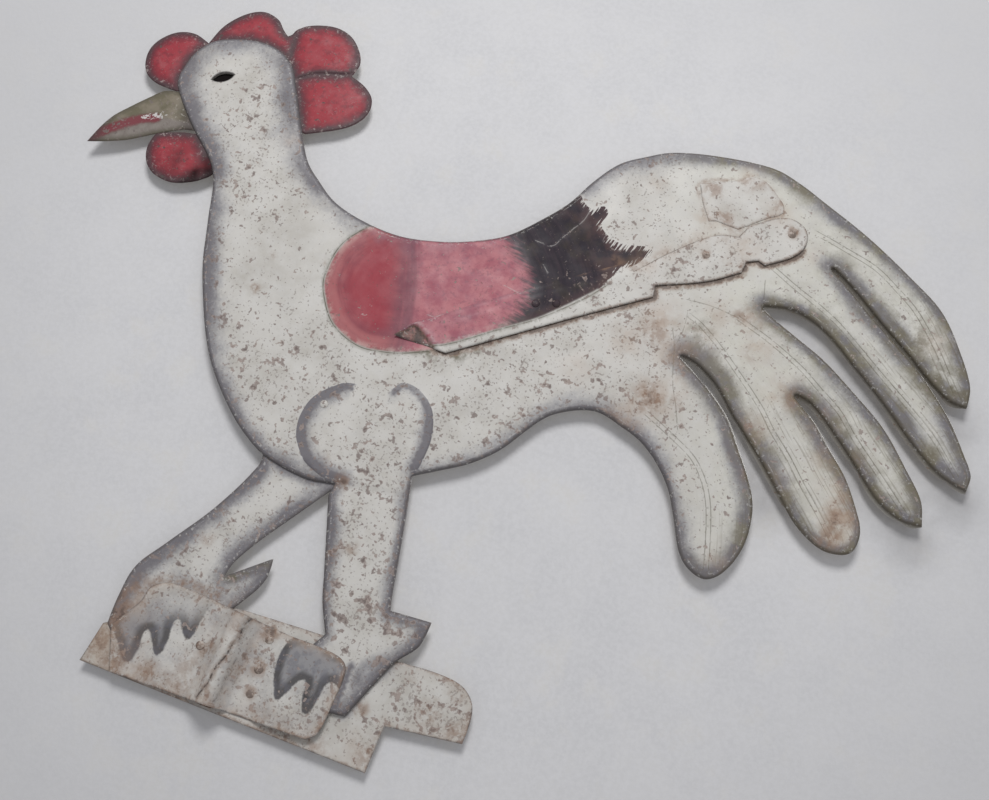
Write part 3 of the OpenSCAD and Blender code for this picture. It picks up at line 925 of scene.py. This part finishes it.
def thigh_at(pts, arcs):
    """Distances inside the thigh's two painted arcs, and the grey band that runs along them."""
    x, z = pts.T
    left, left_side = distance(pts, arcs[0])
    right, right_side = distance(pts, arcs[1])
    in_left, in_right = left * left_side, -right * right_side
    blunt_left = step(x, 10.5, 8.5) + step(z, 226, 216)
    blunt_right = step(x, 33, 35.5) + step(z, 226, 216)
    arc_left = 0.72 * (1 - step(left, 4.5, 18)) * step(z, 244, 218) + 0.56 * (1 - step(left, 4.2, 6.4))
    arc_right = 0.66 * (1 - step(right, 3.5, 16)) * step(z, 252, 224) + 0.56 * (1 - step(right, 3.8, 6.0))
    band = np.maximum(np.where(in_left > -0.4, arc_left, 0) * unit(blunt_left),
                      np.where(in_right > -0.4, arc_right, 0) * unit(blunt_right))
    return in_left, in_right, band


def body_rim(pts, d, soft, tail):
    """Grey sprayed along the body's border, wider and darker in places, and thin over the saddle."""
    x, z = pts.T
    leg = step(z, 190, 150) * step(x, 5, 20)
    head = step(-x, 95, 130) * step(z, 350, 400)
    left_neck = near_line(pts, [(-175, 352), (-170, 330), (-160, 290), (-140, 250)], 24)
    front_side = step(-x, 60, 110)
    width = 10.5 + 3.0 * waves(pts, 90, 3) + 6.0 * left_neck + 3.5 * head + 3.0 * front_side
    width = width - 2.5 * leg - 1.0 * tail
    crown = step(z, 425, 445) * head
    rump = step(z, 430, 470) * step(x, 60, 120)
    strength = 0.72 + 0.2 * waves(pts, 60, 5) + 0.06 * left_neck + 0.14 * head - 0.22 * crown
    strength = strength + 0.1 * front_side + (0.1 * leg + 0.2 * tail + 0.12 * rump)
    wide = bell(np.maximum(d - 1.5, 0), width, 1.8) * strength
    flank = 0.95 * bell(np.maximum(d - 1.2, 0), 3.4) * (1 - 0.3 * tail)
    shade = np.maximum(wide, flank) * (1 - 0.8 * step(soft, -3, 4))
    belly = near_line(pts, [(70, 188), (86, 198), (104, 210), (120, 226), (134, 248), (150, 262)], 12)
    return shade * (1 - 0.25 * belly)


def body_speck(pts, d, soft, tail):
    """How thick the rust specks lie on the body."""
    x, z = pts.T
    low = step(z, 340, 220) * step(x, 190, 130)
    near_leg = step(z, 200, 170) * step(x, 5, 20)
    root, neck = oval(pts, 165, 315, 70, 55), oval(pts, -122, 335, 26, 62)
    cheek = oval(pts, -142, 405, 32, 50)
    speck = 0.3 + 0.3 * low + 0.22 * near_leg + 0.34 * root + 0.34 * neck + 0.3 * cheek - 0.1 * tail
    speck += 0.14 * bell(d, 10) * (1 - tail)
    speck -= 0.3 * near_line(pts, [(-100, 290), (-70, 300), (-60, 340)], 26)
    return unit(speck - 1.2 * step(soft, -1, 3))


def strip_shadow_and_stains(pts, soft, fields):
    """Painted shadow below the strip's lower edge and lifted tip, rust where the body meets the strip and the
    patch, and the body's other stains.
    """
    strip_d = distance(pts, even(outer_loop("stiffener_strip"), 2.0), closed=True)[0]
    below = step(near_line(pts, STRIP_FOOT, 8.0), 0.05, 0.35)
    # Painted shadow, olive-brown, below the strip's lifted tip and along its lower edge
    tip_shade = 0.75 * near_line(pts, [(24, 278), (42, 276), (60, 275), (78, 288)], 5.0)
    under_strip = 2.2 * bell(strip_d, 2.8) * below
    line_shade = 0.85 * bell(strip_d, 2.6) * below
    fields["olive"] = most(fields["olive"], 1.4 * tip_shade, 1.5 * line_shade)
    above_strip = 0.45 * near_line(pts, [(150, 388), (162, 384), (184, 405), (207, 427), (228, 435)], 5)
    # Painted contact shadow: a thin dark line on the body just below the strip's lower edge, carried in the
    # crack field
    fields["crack"] = 0.45 * bell(strip_d, 1.2) * below
    around_patch = 0.7 * bell(np.abs(depth_in(pts, PATCH_EDGE)), 2.4) * (0.75 + 0.4 * waves(pts, 16, 6))
    on_cream = blobs(pts, STAINS) * (1 - 0.8 * step(soft, 0, 4))
    fields["stain"] = most(on_cream, under_strip, above_strip, around_patch)


def body_relief(sheet, thigh, quill_d, tail):
    """Depths of the body's front and back, and how far the slits' turned edges lean into the slits."""
    pts, d = sheet.points, sheet.outer
    x, z = pts.T
    dents = 0.22 * waves(pts, 75, 11) + 0.06 * waves(pts, 22, 12)
    calm = step(d, 0, 6)
    strip_gap = depth_in(pts, [(10, 262), (80, 268), (290, 420), (290, 475), (230, 475), (10, 300)])
    calm *= 1 - 0.85 * step(strip_gap, -4, 4)
    calm *= 1 - step(depth_in(pts, [(30, -5), (84, -5), (84, 72), (30, 72)]), -4, 4)
    gutter = 0.35 * bell(quill_d, 2.2) * tail
    bevel = rolled(d, 2.3, BODY_ROLL) + rolled(sheet.d, 0.35, 1.2)
    front = BODY_FACE + bevel - 0.85 * thigh * step(d, 1, 6) + dents * calm + gutter * step(d, 2, 6)
    rim = 1 - step(sheet.d, 2.6, 3.4)
    slit_d = np.min([distance(pts, slit)[0] for slit in smooth_lines(SLITS)], axis=0)
    in_slit = step(slit_d, 14, 7) * step(x, 212, 220)
    rear_rim = FLAT_FACE + (LEAF_BACK - FLAT_FACE) * step(z, 70, 62) + (BASE_BACK - 0.1 - FLAT_FACE) * in_slit
    flare = np.minimum(1.7, 0.62 * slit_d) * in_slit * step(slit_d, 12, 5)
    back = (BODY_FACE + SKIN + dents * calm) * (1 - rim) + rear_rim * rim
    return front, np.maximum(back, front + 0.5), flare


def make_body(material):
    """The rooster's pressed sheet, with its quills, creases and saddle line scribed into the paint."""
    doubles = [beside(quill, side) for quill in smooth_lines(QUILLS) for side in (-1.6, 1.6)]
    creases = smooth_lines(CREASES)
    saddle_line = smooth_line(SADDLE[:10])
    fine = ribbons(doubles, 0.5) + ribbons(creases, 0.5) + ribbons([saddle_line], 0.55)
    fine += ribbons(smooth_lines(SCRATCHES[:6]), 0.5)
    arcs = smooth_lines([THIGH_LEFT, THIGH_RIGHT])
    sharp_arcs = [beside(arc, k) for arc in arcs for k in (-0.5, 0.0, 0.5)]
    sheet = Sheet("body_sheet", grid=2.7, spacing=2.0, lines=fine + sharp_arcs)
    pts, d, fields = sheet.points, sheet.outer, sheet.fields
    x, z = pts.T
    in_left, in_right, band = thigh_at(pts, arcs)
    tail = step(x + 0.35 * (z - 350), 185, 260)
    soft = depth_in(pts, SADDLE)
    foot = step(depth_in(pts, REAR_TOE), -6, 7) * (0.9 + 0.25 * waves(pts, 14, 8))
    gully = near_line(pts, [(214, 338), (226, 333), (246, 316), (268, 290)], 13)
    jaw = near_line(pts, [(-188, 380), (-180, 372), (-168, 352)], 11) * 0.7
    fields["edge"] = np.minimum(d, sheet.d * 2.5)
    # Painted contact shadow on the near foot along the strap's right edge, put into the grey shade
    strap_shadow = 0.95 * near_line(pts, [(79, 56), (79, 30), (77, 9)], 2.6)
    rim = body_rim(pts, d, soft, tail)
    fields["shade"] = unit(most(rim, 0.98 * band, 0.72 * foot, jaw, strap_shadow) + 0.3 * gully * tail)
    across, along, quill_d = feather_fields(pts)
    fields["across"], fields["along"], fields["tail"] = across, along, tail
    tips = step(along, 60, 110)
    fields["barbs"] = tail * step(along, 8, 40) * (0.12 + 0.6 * tips + 0.25 * step(d, 12, 4))
    hollow = bell(quill_d, 12) * tail
    fields["tan"] = blobs(pts, TAN)
    fields["scratch_and_highlight"] = scribed(pts, smooth_lines(SCRATCHES), 0.55)
    fields["olive"] = unit(0.3 * bell(d, 11) * tail + 0.12 * hollow + 0.55 * blobs(pts, OLIVE_SPOTS))
    fields["scribe"] = most(0.85 * scribed(pts, doubles, 0.5), 0.75 * scribed(pts, creases, 0.5),
                            1.3 * scribed(pts, [saddle_line], 0.95))
    fields["speck"] = body_speck(pts, d, soft, tail)
    strip_shadow_and_stains(pts, soft, fields)
    fields.update(saddle_at(pts))
    blank(sheet)
    thigh = step(in_left, -0.5, 0.5) * step(in_right, -0.5, 0.5) * step(z, 256, 214) * step(z, 120, 165)
    front, back, flare = body_relief(sheet, thigh, quill_d, tail)
    sheet.build("rooster_body", front, back, material, flare)


def make_far_leg(material):
    sheet = Sheet("far_leg", grid=2.6, spacing=2.0)
    pts, d, fields = sheet.points, sheet.d, sheet.fields
    x, z = pts.T
    wide = 10.0 + 4.0 * step(x + 0.5 * z, 20, -30)
    shade = bell(np.maximum(d - 1.5, 0), wide, 1.8) * (0.88 + 0.2 * waves(pts, 50, 21))
    spur = depth_in(pts, [(-24, 80), (3, 104), (2, 94), (-14, 80)])
    under_body = near_line(pts, [(-42, 171), (-27, 165), (2, 161), (22, 164)], 6)
    over_strap = near_line(pts, [(-80, 30), (-70, 50), (-59, 66), (-38, 68), (-14, 66)], 9)
    fields["shade"] = unit(most(shade, 0.75 * under_body, 0.5 * over_strap))
    fields["olive"] = 0.9 * step(spur, -1.5, 1.5)
    fields["speck"] = 0.8 - 0.25 * step(z, 140, 160)
    fields["tan"] = blobs(pts, TAN)
    rust_line = 0.6 * near_line(pts, [(-66, 60), (-59, 66), (-38, 68), (-23, 67)], 4)
    fields["stain"] = np.maximum(rust_line, blobs(pts, STAINS + [
        (-78, 33, 12, 1.0), (-82, 45, 8, 0.8), (-44, 100, 6, 0.5), (-74, 55, 9, 0.6), (-66, 42, 8, 0.6)]))
    blank(sheet)
    dents = 0.12 * waves(pts, 60, 22) * step(d, 0, 6)
    front = FLAT_FACE + rolled(d, 0.8, 2.6) + dents
    sheet.build("far_leg_sheet", front, LEAF_BACK, material)


def make_comb(material):
    fold, gap_line = smooth_line(COMB_FOLD), smooth_line(COMB_GAP)
    sheet = Sheet("comb", grid=2.2, spacing=1.8, lines=ribbons([fold], 0.6))
    pts, d, fields = sheet.points, sheet.d, sheet.fields
    fold_d, fold_side = distance(pts, fold)
    upper = fold_side > 0
    head = np.maximum(visible_comb(pts), 0)
    # Below the fold the red darkens over a wider band, a painted shadow of the upper lobe on the lower; above
    # it a thin dark border
    creased = np.where(upper, fold_d * 1.6 + 0.4, fold_d * 0.85)
    lobe = np.minimum.reduce([d, creased, 1 + 0.9 * head, 0.8 + distance(pts, gap_line)[0]])
    fields["lobe"] = lobe
    # Behind the eye hole the comb is painted near black: painted shade that makes the hole look deep
    eye_lo, eye_hi = eye_box()
    beyond = np.maximum(np.abs(pts - (eye_lo + eye_hi) / 2) - (eye_hi - eye_lo) / 2, 0).max(1)
    fields["dark"] = step(beyond, 6, 2)
    fields["speck"] = 0.2
    bulge = 0.9 * step(lobe, 1, 14) * step(d, 0.5, 8) * step(head, 0, 5)
    ledge = 0.45 * np.where(upper, np.exp(-fold_d / 3), -np.exp(-fold_d / 3)) * step(fold_d, 0, 0.5)
    ledge = ledge * step(head, 0, 3) * step(d, 0, 3)
    front = FLAT_FACE + rolled(d, 0.7) - bulge - ledge + 0.1 * waves(pts, 30, 31)
    sheet.build("comb_sheet", front, LEAF_BACK, material)


def eye_box():
    """Lowest and highest corner of the eye hole, in mm."""
    eye = next(loop for loop in front_loops("body_sheet") if 12 < span(loop) < 40)
    return eye.min(0), eye.max(0)


def visible_comb(pts):
    """Distance outside the head's outline, so that the comb swells only where it is free of the head."""
    outline = outer_loop("body_sheet")
    near = outline[(outline[:, 0] < -60) & (outline[:, 1] > 360)]
    d = distance(pts, near, closed=True)[0]
    return np.where(inside(pts, [near]), -d, d)


def make_wattle(material):
    sheet = Sheet("wattle", grid=2.2, spacing=1.8)
    pts, d, fields = sheet.points, sheet.d, sheet.fields
    x, z = pts.T
    head = np.maximum(visible_comb(pts), 0)
    fields["lobe"] = np.minimum(d * 0.9, 0.5 + 0.8 * head)
    middle = oval(pts, -184, 352, 7, 15)
    beside_neck = step(x - 0.4 * (z - 345), -178, -166)
    fields["dark"] = np.maximum(0.45 * middle, 0.8 * beside_neck) * (0.85 + 0.2 * waves(pts, 10, 32))
    fields["speck"] = 0.35
    front = FLAT_FACE + rolled(d, 0.7) - 0.5 * step(d, 1, 12) * step(-x, 162, 175)
    sheet.build("wattle_sheet", front, LEAF_BACK, material)


def make_beak(material):
    sheet = Sheet("beak", grid=2.0, spacing=1.6)
    pts, d, fields = sheet.points, sheet.d, sheet.fields
    x = pts[:, 0]
    mouth = smooth_line(MOUTH)
    fields["mouth"], _ = distance(pts, mouth)
    long_d, long_side = distance(pts, np.concatenate([mouth, [(-205, 382), (-170, 387)]]))
    fields["jaw"] = long_d * long_side
    tip = step(-x, 239, 251)
    root = near_line(pts, [(-193, 402), (-187, 385), (-179, 370)], 7)
    fields["dark"] = np.maximum(0.85 * tip, 0.75 * root)
    fields["flecks"] = near_line(pts, [(-198, 402), (-193, 385), (-186, 372)], 9)
    fields["chip"] = distance(pts, smooth_line(CHIP))[0]
    bend = 3.2 * step(x, -212, -262)
    crown = 0.7 * step(d, 1, 9) * step(x, -196, -206)
    front = FLAT_FACE + rolled(d, 0.7) - bend - crown
    sheet.build("beak_sheet", front, LEAF_BACK - bend, material)


def make_base(material):
    sheet = Sheet("base_plate", grid=3.0, spacing=2.2)
    pts, d, fields = sheet.points, sheet.d, sheet.fields
    x = pts[:, 0]
    toe = step(depth_in(pts, REAR_TOE), -4, 4)
    fields["shade"] = unit(0.08 * bell(d, 3) + 0.55 * toe)
    right = step(x, 108, 122)
    fields["speck"] = 0.5 + 0.25 * right - 0.15 * step(x, 60, -70)
    fields["tan"] = np.maximum(0.9 * blobs(pts, TAN), 0.35 * bell(d, 5))
    brown = 0.72 * bell(d, 2.6, 1.6) * (0.8 + 0.35 * waves(pts, 40, 41))
    fields["stain"] = unit(np.maximum(blobs(pts, BASE_STAINS), brown))
    fields["tail"] = 0.5 * step(x, -60, -76)
    blank(sheet)
    fields["edge"] = d + 1.2
    dents = 0.1 * waves(pts, 80, 42) * step(d, 0, 6)
    front = DECK + rolled(d, 0.55) + np.abs(dents)
    sheet.build("base_sheet", front, BASE_BACK, material)


def strap_profile(x):
    """Depth of the strap's middle layer along X: flat, the rib round the sleeve, then the near foot."""
    crest = STRAP_FACE + HALF_STRAP
    low, far, near = DECK - HALF_STRAP - 0.2, FLAT_FACE - HALF_STRAP, BODY_FACE - HALF_STRAP
    turn = np.radians(np.arange(192, 349, 6))
    rib = [(-crest * math.cos(a), -crest * math.sin(a)) for a in turn]
    line = [(-90, far), (-15, far)] + rib + [(13.5, low), (30, low), (41, near), (90, near)]
    xs, ys = zip(*line)
    grid = np.arange(-90, 90.1, 0.5)
    shape = np.interp(grid, xs, ys)
    kernel = np.hanning(7)
    shape = np.convolve(np.pad(shape, 3, mode="edge"), kernel / kernel.sum(), mode="valid")
    return np.interp(x, grid, shape)


def toe_fields(pts):
    """Depth inside either painted foot, and how strongly it is inked."""
    x, z = pts.T
    toe = np.maximum(depth_in(pts, FAR_FOOT), depth_in(pts, NEAR_FOOT))
    wash = np.where(x < 0, step(z - 0.3 * (x + 50), 56, 34), step(z, 66, 52))
    return {"toe": toe, "toe_wash": unit(0.1 + 0.9 * wash)}


def make_strap(material):
    crack = smooth_line(CRACK)
    side_crack = smooth_line([(6, 5), (7, 14), (7, 25), (8, 34)])
    cracks = ribbons([crack], 0.9) + ribbons([side_crack], 0.5)
    sheet = Sheet("front_strap", grid=1.9, spacing=1.6, lines=cracks)
    pts, d, fields = sheet.points, sheet.d, sheet.fields
    x = pts[:, 0]
    fields.update(toe_fields(pts))
    rib_shade = 0.12 * near_line(pts, [(11, 0), (13, 30), (14, 62)], 5.0)
    fields["shade"] = 0.27 + 0.1 * waves(pts, 26, 53) + rib_shade
    rib_sides = most(0.5 * near_line(pts, [(9, 2), (12, 30), (14, 60)], 6.0),
                     0.45 * near_line(pts, [(-12, 4), (-8, 30), (-4, 60)], 6.0))
    fields["tan"] = most(blobs(pts, TAN), 0.6 * bell(d, 5), rib_sides)
    fields["crack"] = np.maximum(scribed(pts, [crack], 1.2), 0.5 * scribed(pts, [side_crack], 0.7))
    fields["speck"] = 0.7
    brown = 0.8 * bell(d, 2.4, 1.6) * (0.75 + 0.45 * waves(pts, 30, 51))
    rib_rust = 0.6 * bell(distance(pts, crack)[0], 3.0)
    fields["stain"] = unit(most(blobs(pts, BASE_STAINS), brown, rib_rust))
    blank(sheet)
    fields["edge"] = d + 1.3
    groove = 0.8 * bell(distance(pts, crack)[0], 1.0)
    dents = 0.18 * waves(pts, 34, 52) * step(d, 0, 5)
    middle = strap_profile(x) + dents
    front = middle - HALF_STRAP + rolled(d, 0.5) + groove
    sheet.build("foot_strap", front, middle + HALF_STRAP, material)


def make_strip(material):
    low_line, top_line = smooth_line(STRIP_SADDLE), smooth_line(STRIP_TOP)
    sheet = Sheet("stiffener_strip", grid=2.0, spacing=1.8, lines=ribbons([low_line], 0.5))
    pts, d, fields = sheet.points, sheet.d, sheet.fields
    x = pts[:, 0]
    fields.update(saddle_at(pts))
    low_d, low_side = distance(pts, low_line)
    depth = fields["saddle"]
    fields["saddle"] = np.where(x < 150, np.minimum(depth + 3, low_d * low_side), depth)
    fields["scribe"] = 1.15 * scribed(pts, [low_line], 0.95)
    bare_end = step(x, 118, 150)
    top_d = distance(pts, top_line)[0]
    hidden = step(top_d, 9, 1) * step(x, 44, 54) * step(x, 168, 158)
    fields["speck"] = 0.2 + 0.42 * bare_end
    # The hollow under the lifted tip is painted dark: painted shade with rust over it, through the stain and
    # crack fields
    hollow = step(depth_in(pts, TIP_HOLLOW), -0.8, 1.2)
    fold_d = distance(pts, smooth_line([(29, 289), (33, 292), (42, 288), (50, 282), (58, 278)]))[0]
    # Painted highlight along the fold of the strip's lifted tip, carried with the pale scratches
    fold_highlight = 0.7 * bell(fold_d, 1.6) * (1 - hollow)
    fields["scratch_and_highlight"] = np.maximum(fold_highlight, scribed(pts, smooth_lines(SCRATCHES), 0.55))
    fields["tan"] = blobs(pts, TAN)
    tip = 1.15 * hollow
    rust_edge = 0.75 * bell(d, 1.8) * (0.8 + 0.4 * waves(pts, 20, 61)) * bare_end
    fields["stain"] = unit(most(blobs(pts, STRIP_STAINS), tip, rust_edge))
    low_edge = step(low_side * low_d, 2, -3) * step(x, 50, 66) + step(x, 140, 165)
    # Painted shadow: a dark line along the strip's lower edge
    low_edge_shadow = 0.35 * bell(d, 1.1) * unit(low_edge) * (1 - hidden)
    fields["crack"] = np.maximum(0.85 * hollow * (0.8 + 0.3 * waves(pts, 8, 63)), low_edge_shadow)
    blank(sheet)
    fields["edge"] = d + 1.6 + 8 * hidden
    lift = 2.4 * step(45 - x, 0, 34) + 0.45
    sprung = STRIP_T + lift
    front = BODY_FACE - 0.1 - (sprung - 0.1) * (1 - hidden) + rolled(d, 0.55) * (1 - hidden)
    front += 0.12 * waves(pts, 45, 62) + 1.3 * hollow - 0.5 * bell(fold_d, 2.0) * (1 - hollow)
    back = np.maximum(BODY_FACE - lift + 0.12 * waves(pts, 45, 62), front + 0.25)
    sheet.build("stiffener", front, back, material)


def make_patch(material):
    sheet = Sheet("tail_patch", grid=2.2, spacing=1.8)
    pts, d, fields = sheet.points, sheet.d, sheet.fields
    fields["speck"] = 0.32
    fields["tan"] = blobs(pts, TAN)
    rust_edge = 0.7 * bell(d, 2.2) * (0.75 + 0.45 * waves(pts, 18, 71))
    fields["stain"] = np.maximum(rust_edge, blobs(pts, [
        (200, 466, 8, 0.7), (223, 480, 8, 0.6), (214, 447, 9, 0.65), (248, 470, 6, 0.5), (232, 482, 6, 0.5)]))
    blank(sheet)
    fields["edge"] = d + 1.8
    front = BODY_FACE - PATCH_T + rolled(d, 0.45)
    sheet.build("patch_sheet", front, BODY_FACE + 0.3, material)


def solids_of(node):
    """Lowest and highest corner of each separate solid in a CAD node, in mm."""
    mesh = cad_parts[node].data
    keys = mesh_keys(mesh)
    group = {key: key for key in keys}

    def root(key):
        while group[key] != key:
            key = group[key]
        return key

    for e in mesh.edges:
        a, b = (root(keys[i]) for i in e.vertices)
        group[a] = b
    found = {}
    for key in group:
        found.setdefault(root(key), []).append(key)
    return [(np.min(v, axis=0), np.max(v, axis=0)) for v in found.values()]


def lathe(rings, sides, centre):
    """Vertices and faces of a closed turned shape about an axis along Y, from (radius, depth) rings."""
    turns = [math.tau * k / sides for k in range(sides)]
    circle = [(math.cos(turn), math.sin(turn)) for turn in turns]
    verts = [(centre[0] + r * c, y, centre[1] + r * s) for r, y in rings for c, s in circle]
    faces = []
    for i in range(len(rings) - 1):
        for k in range(sides):
            a, b = i * sides + k, i * sides + (k + 1) % sides
            faces.append((a, b, b + sides, a + sides))
    faces.append(tuple(reversed(range(sides))))
    faces.append(tuple(range((len(rings) - 1) * sides, len(rings) * sides)))
    return verts, faces


DOME_RINGS = (0.15, 0.4, 0.65, 0.85, 1.0)


def make_rivets(name, node, material, rust, lift=0.0):
    """A domed head in front of each rivet and a flat one behind it, in the paint that they sit in."""
    verts, faces = [], []
    for lo, hi in solids_of(node):
        r, front, rear = (hi[0] - lo[0]) / 2, lo[1] - lift, hi[1]
        centre = ((lo[0] + hi[0]) / 2, (lo[2] + hi[2]) / 2)
        rings = [(r * k, front + 1.3 * (1 - math.sqrt(1 - 0.9 * k * k))) for k in DOME_RINGS]
        rings += [(r * 0.98, front + 1.15), (r * 0.5, front + 1.2), (r * 0.5, rear - 0.45)]
        rings += [(r * 0.8, rear - 0.4), (r * 0.8, rear - 0.25), (r * 0.55, rear - 0.02)]
        more, polygons = lathe(rings, 20, centre)
        faces += [tuple(i + len(verts) for i in f) for f in polygons]
        verts += more
    mesh = bpy.data.meshes.new(name)
    mesh.from_pydata([tuple(c * MM for c in v) for v in verts], [], faces)
    mesh.update()
    mesh.shade_smooth()
    pts = np.array([(v[0], v[2]) for v in verts])
    fields = {field: np.zeros(len(pts)) for field in CREAM_FIELDS}
    fields.update(saddle_at(pts), edge=10.0, speck=0.8, stain=blobs(pts, rust), **toe_fields(pts))
    if node == "strip_rivets":
        fields["saddle"] = np.where(pts[:, 0] < 150, 6.0, -20.0)
    place_piece(name, mesh, material, fields, node)


# ---------------------------------------------------------------- build the vane
cream = cream_sheet("cream_paint")
saddled = cream_sheet("cream_and_saddle_paint", saddle=True)
worn = cream_sheet("worn_paint", toes=True)
red = red_sheet("red_paint")
olive = beak_sheet("olive_paint")
rust = rusty_steel("rusty_steel")
steel = rusty_steel("ball_steel", 0.8)

make_body(saddled)
make_far_leg(cream)
make_comb(red)
make_wattle(red)
make_beak(olive)
make_base(worn)
make_strap(worn)
make_strip(saddled)
make_patch(cream)
make_rivets("strip_rivet_heads", "strip_rivets", saddled, [(210, 413, 4, 1.1), (264, 450, 4, 1.2)], 0.45)
make_rivets("strap_rivet_heads", "strap_rivets", worn,
            [(-19, 34, 5, 1.2), (22, 53, 5, 1.0), (23, 33, 5, 1.3), (24, 17, 5, 1.1)])
make_rivets("hip_rivet_heads", "hip_rivets", cream, [(26, 169, 5, 0.8)])
for node in ("sleeve_tube", "sleeve_plug", "spindle", "bearing_ball"):
    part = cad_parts[node]
    part.data.materials.clear()
    part.data.materials.append(steel if node == "bearing_ball" else rust)

# ---------------------------------------------------------------- camera, floor and light
TILT = math.radians(17)
TURN = math.radians(20.2)
DISTANCE = 0.805
LENS_MM = 41.86
AIM = Vector((103.75 * MM, DECK * MM, 258.9 * MM))

picture_right = Vector((math.cos(TURN), 0, math.sin(TURN)))
sheet_up = Vector((-math.sin(TURN), 0, math.cos(TURN)))
view_way = Vector((0, math.cos(TILT), 0)) + sheet_up * math.sin(TILT)
picture_up = sheet_up * math.cos(TILT) - Vector((0, math.sin(TILT), 0))

scene = bpy.context.scene
camera_data = bpy.data.cameras.new("camera")
camera_data.lens = LENS_MM
camera_data.sensor_width = 36
camera_data.clip_start = 0.01
camera = bpy.data.objects.new("camera", camera_data)
scene.collection.objects.link(camera)
camera.location = AIM - view_way * DISTANCE
axes = Matrix((picture_right, picture_up, -view_way)).transposed()
camera.rotation_euler = axes.to_euler()
scene.camera = camera


FLOOR_GAP = 7.0
FLOOR_REACH = 0.94
FLOOR_GRID = 0.012


def make_floor():
    """Pale floor just behind the vane. It turns with the vane, and fades out at its edge."""
    y = (BASE_BACK + FLOOR_GAP) * MM
    middle = Vector((AIM.x, y, AIM.z)) + sheet_up * 0.02
    count = int(2 * FLOOR_REACH / FLOOR_GRID) + 1
    line = np.linspace(-FLOOR_REACH, FLOOR_REACH, count)
    gx, gz = (g.ravel() for g in np.meshgrid(line, line))
    r = np.hypot(gx, gz)
    verts = np.stack([middle.x + gx, np.full(len(gx), y), middle.z + gz], 1)
    corner = (np.arange(count - 1)[:, None] * count + np.arange(count - 1)).ravel()
    faces = np.stack([corner, corner + 1, corner + count + 1, corner + count], 1)
    faces = faces[(r[faces] < FLOOR_REACH).all(1)]
    kept = np.unique(faces)
    verts, r, faces = verts[kept], r[kept], np.searchsorted(kept, faces)
    place = verts[:, [0, 2]] / MM
    # Painted shadow on the floor behind the tail's slits
    slit = np.max([near_line(place, s, 15) for s in SLITS], axis=0)
    mesh = bpy.data.meshes.new("floor")
    mesh.from_pydata(verts.tolist(), [], faces.tolist())
    # far: the floor painted darker away from its middle, a painted fall-off of the light
    fields = {"cover": 1 - step(r, 0.64, 0.92), "far": 0.75 * step(r, 0.22, 0.5), "slit": slit}
    for name, value in fields.items():
        mesh.attributes.new(name, "FLOAT", "POINT").data.foreach_set("value", value)
    mesh.update()
    if mesh.polygons[0].normal.y > 0:
        mesh.flip_normals()
    floor = bpy.data.objects.new("floor", mesh)
    scene.collection.objects.link(floor)
    mesh.materials.append(floor_paint())
    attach(floor, "vane")
    return floor


def area_light(name, place, target, size, power, tint=(1, 1, 1)):
    data = bpy.data.lights.new(name, "AREA")
    data.shape, data.size, data.energy, data.color = "DISK", size, power, tint
    lamp = bpy.data.objects.new(name, data)
    scene.collection.objects.link(lamp)
    lamp.location = place
    lamp.rotation_euler = (target - place).to_track_quat("-Z", "Y").to_euler()
    return lamp


make_floor()
centre = Vector((AIM.x, 0, AIM.z))
front_way = Vector((0, -1, 0))
area_light("window", centre + picture_right * 0.1 + sheet_up * 1.12 + front_way * 1.52, centre, 0.7, 20)
area_light("fill", centre + picture_right * 1.1 - sheet_up * 0.6 + front_way * 1.5, centre, 1.4, 2.0)
area_light("rear", centre + Vector((0.8, 1.3, 0.9)), centre, 1.0, 16)

world = bpy.data.worlds.new("room")
scene.world = world
world.use_nodes = True
sky = world.node_tree.nodes["Background"]
sky.inputs[0].default_value = (0.6, 0.605, 0.63, 1)
ray = world.node_tree.nodes.new("ShaderNodeLightPath")
glow = world.node_tree.nodes.new("ShaderNodeMapRange")
glow.inputs["To Min"].default_value = 0.62
glow.inputs["To Max"].default_value = 0.95
world.node_tree.links.new(ray.outputs["Is Camera Ray"], glow.inputs["Value"])
world.node_tree.links.new(glow.outputs[0], sky.inputs[1])
scene.view_settings.view_transform = "Standard"
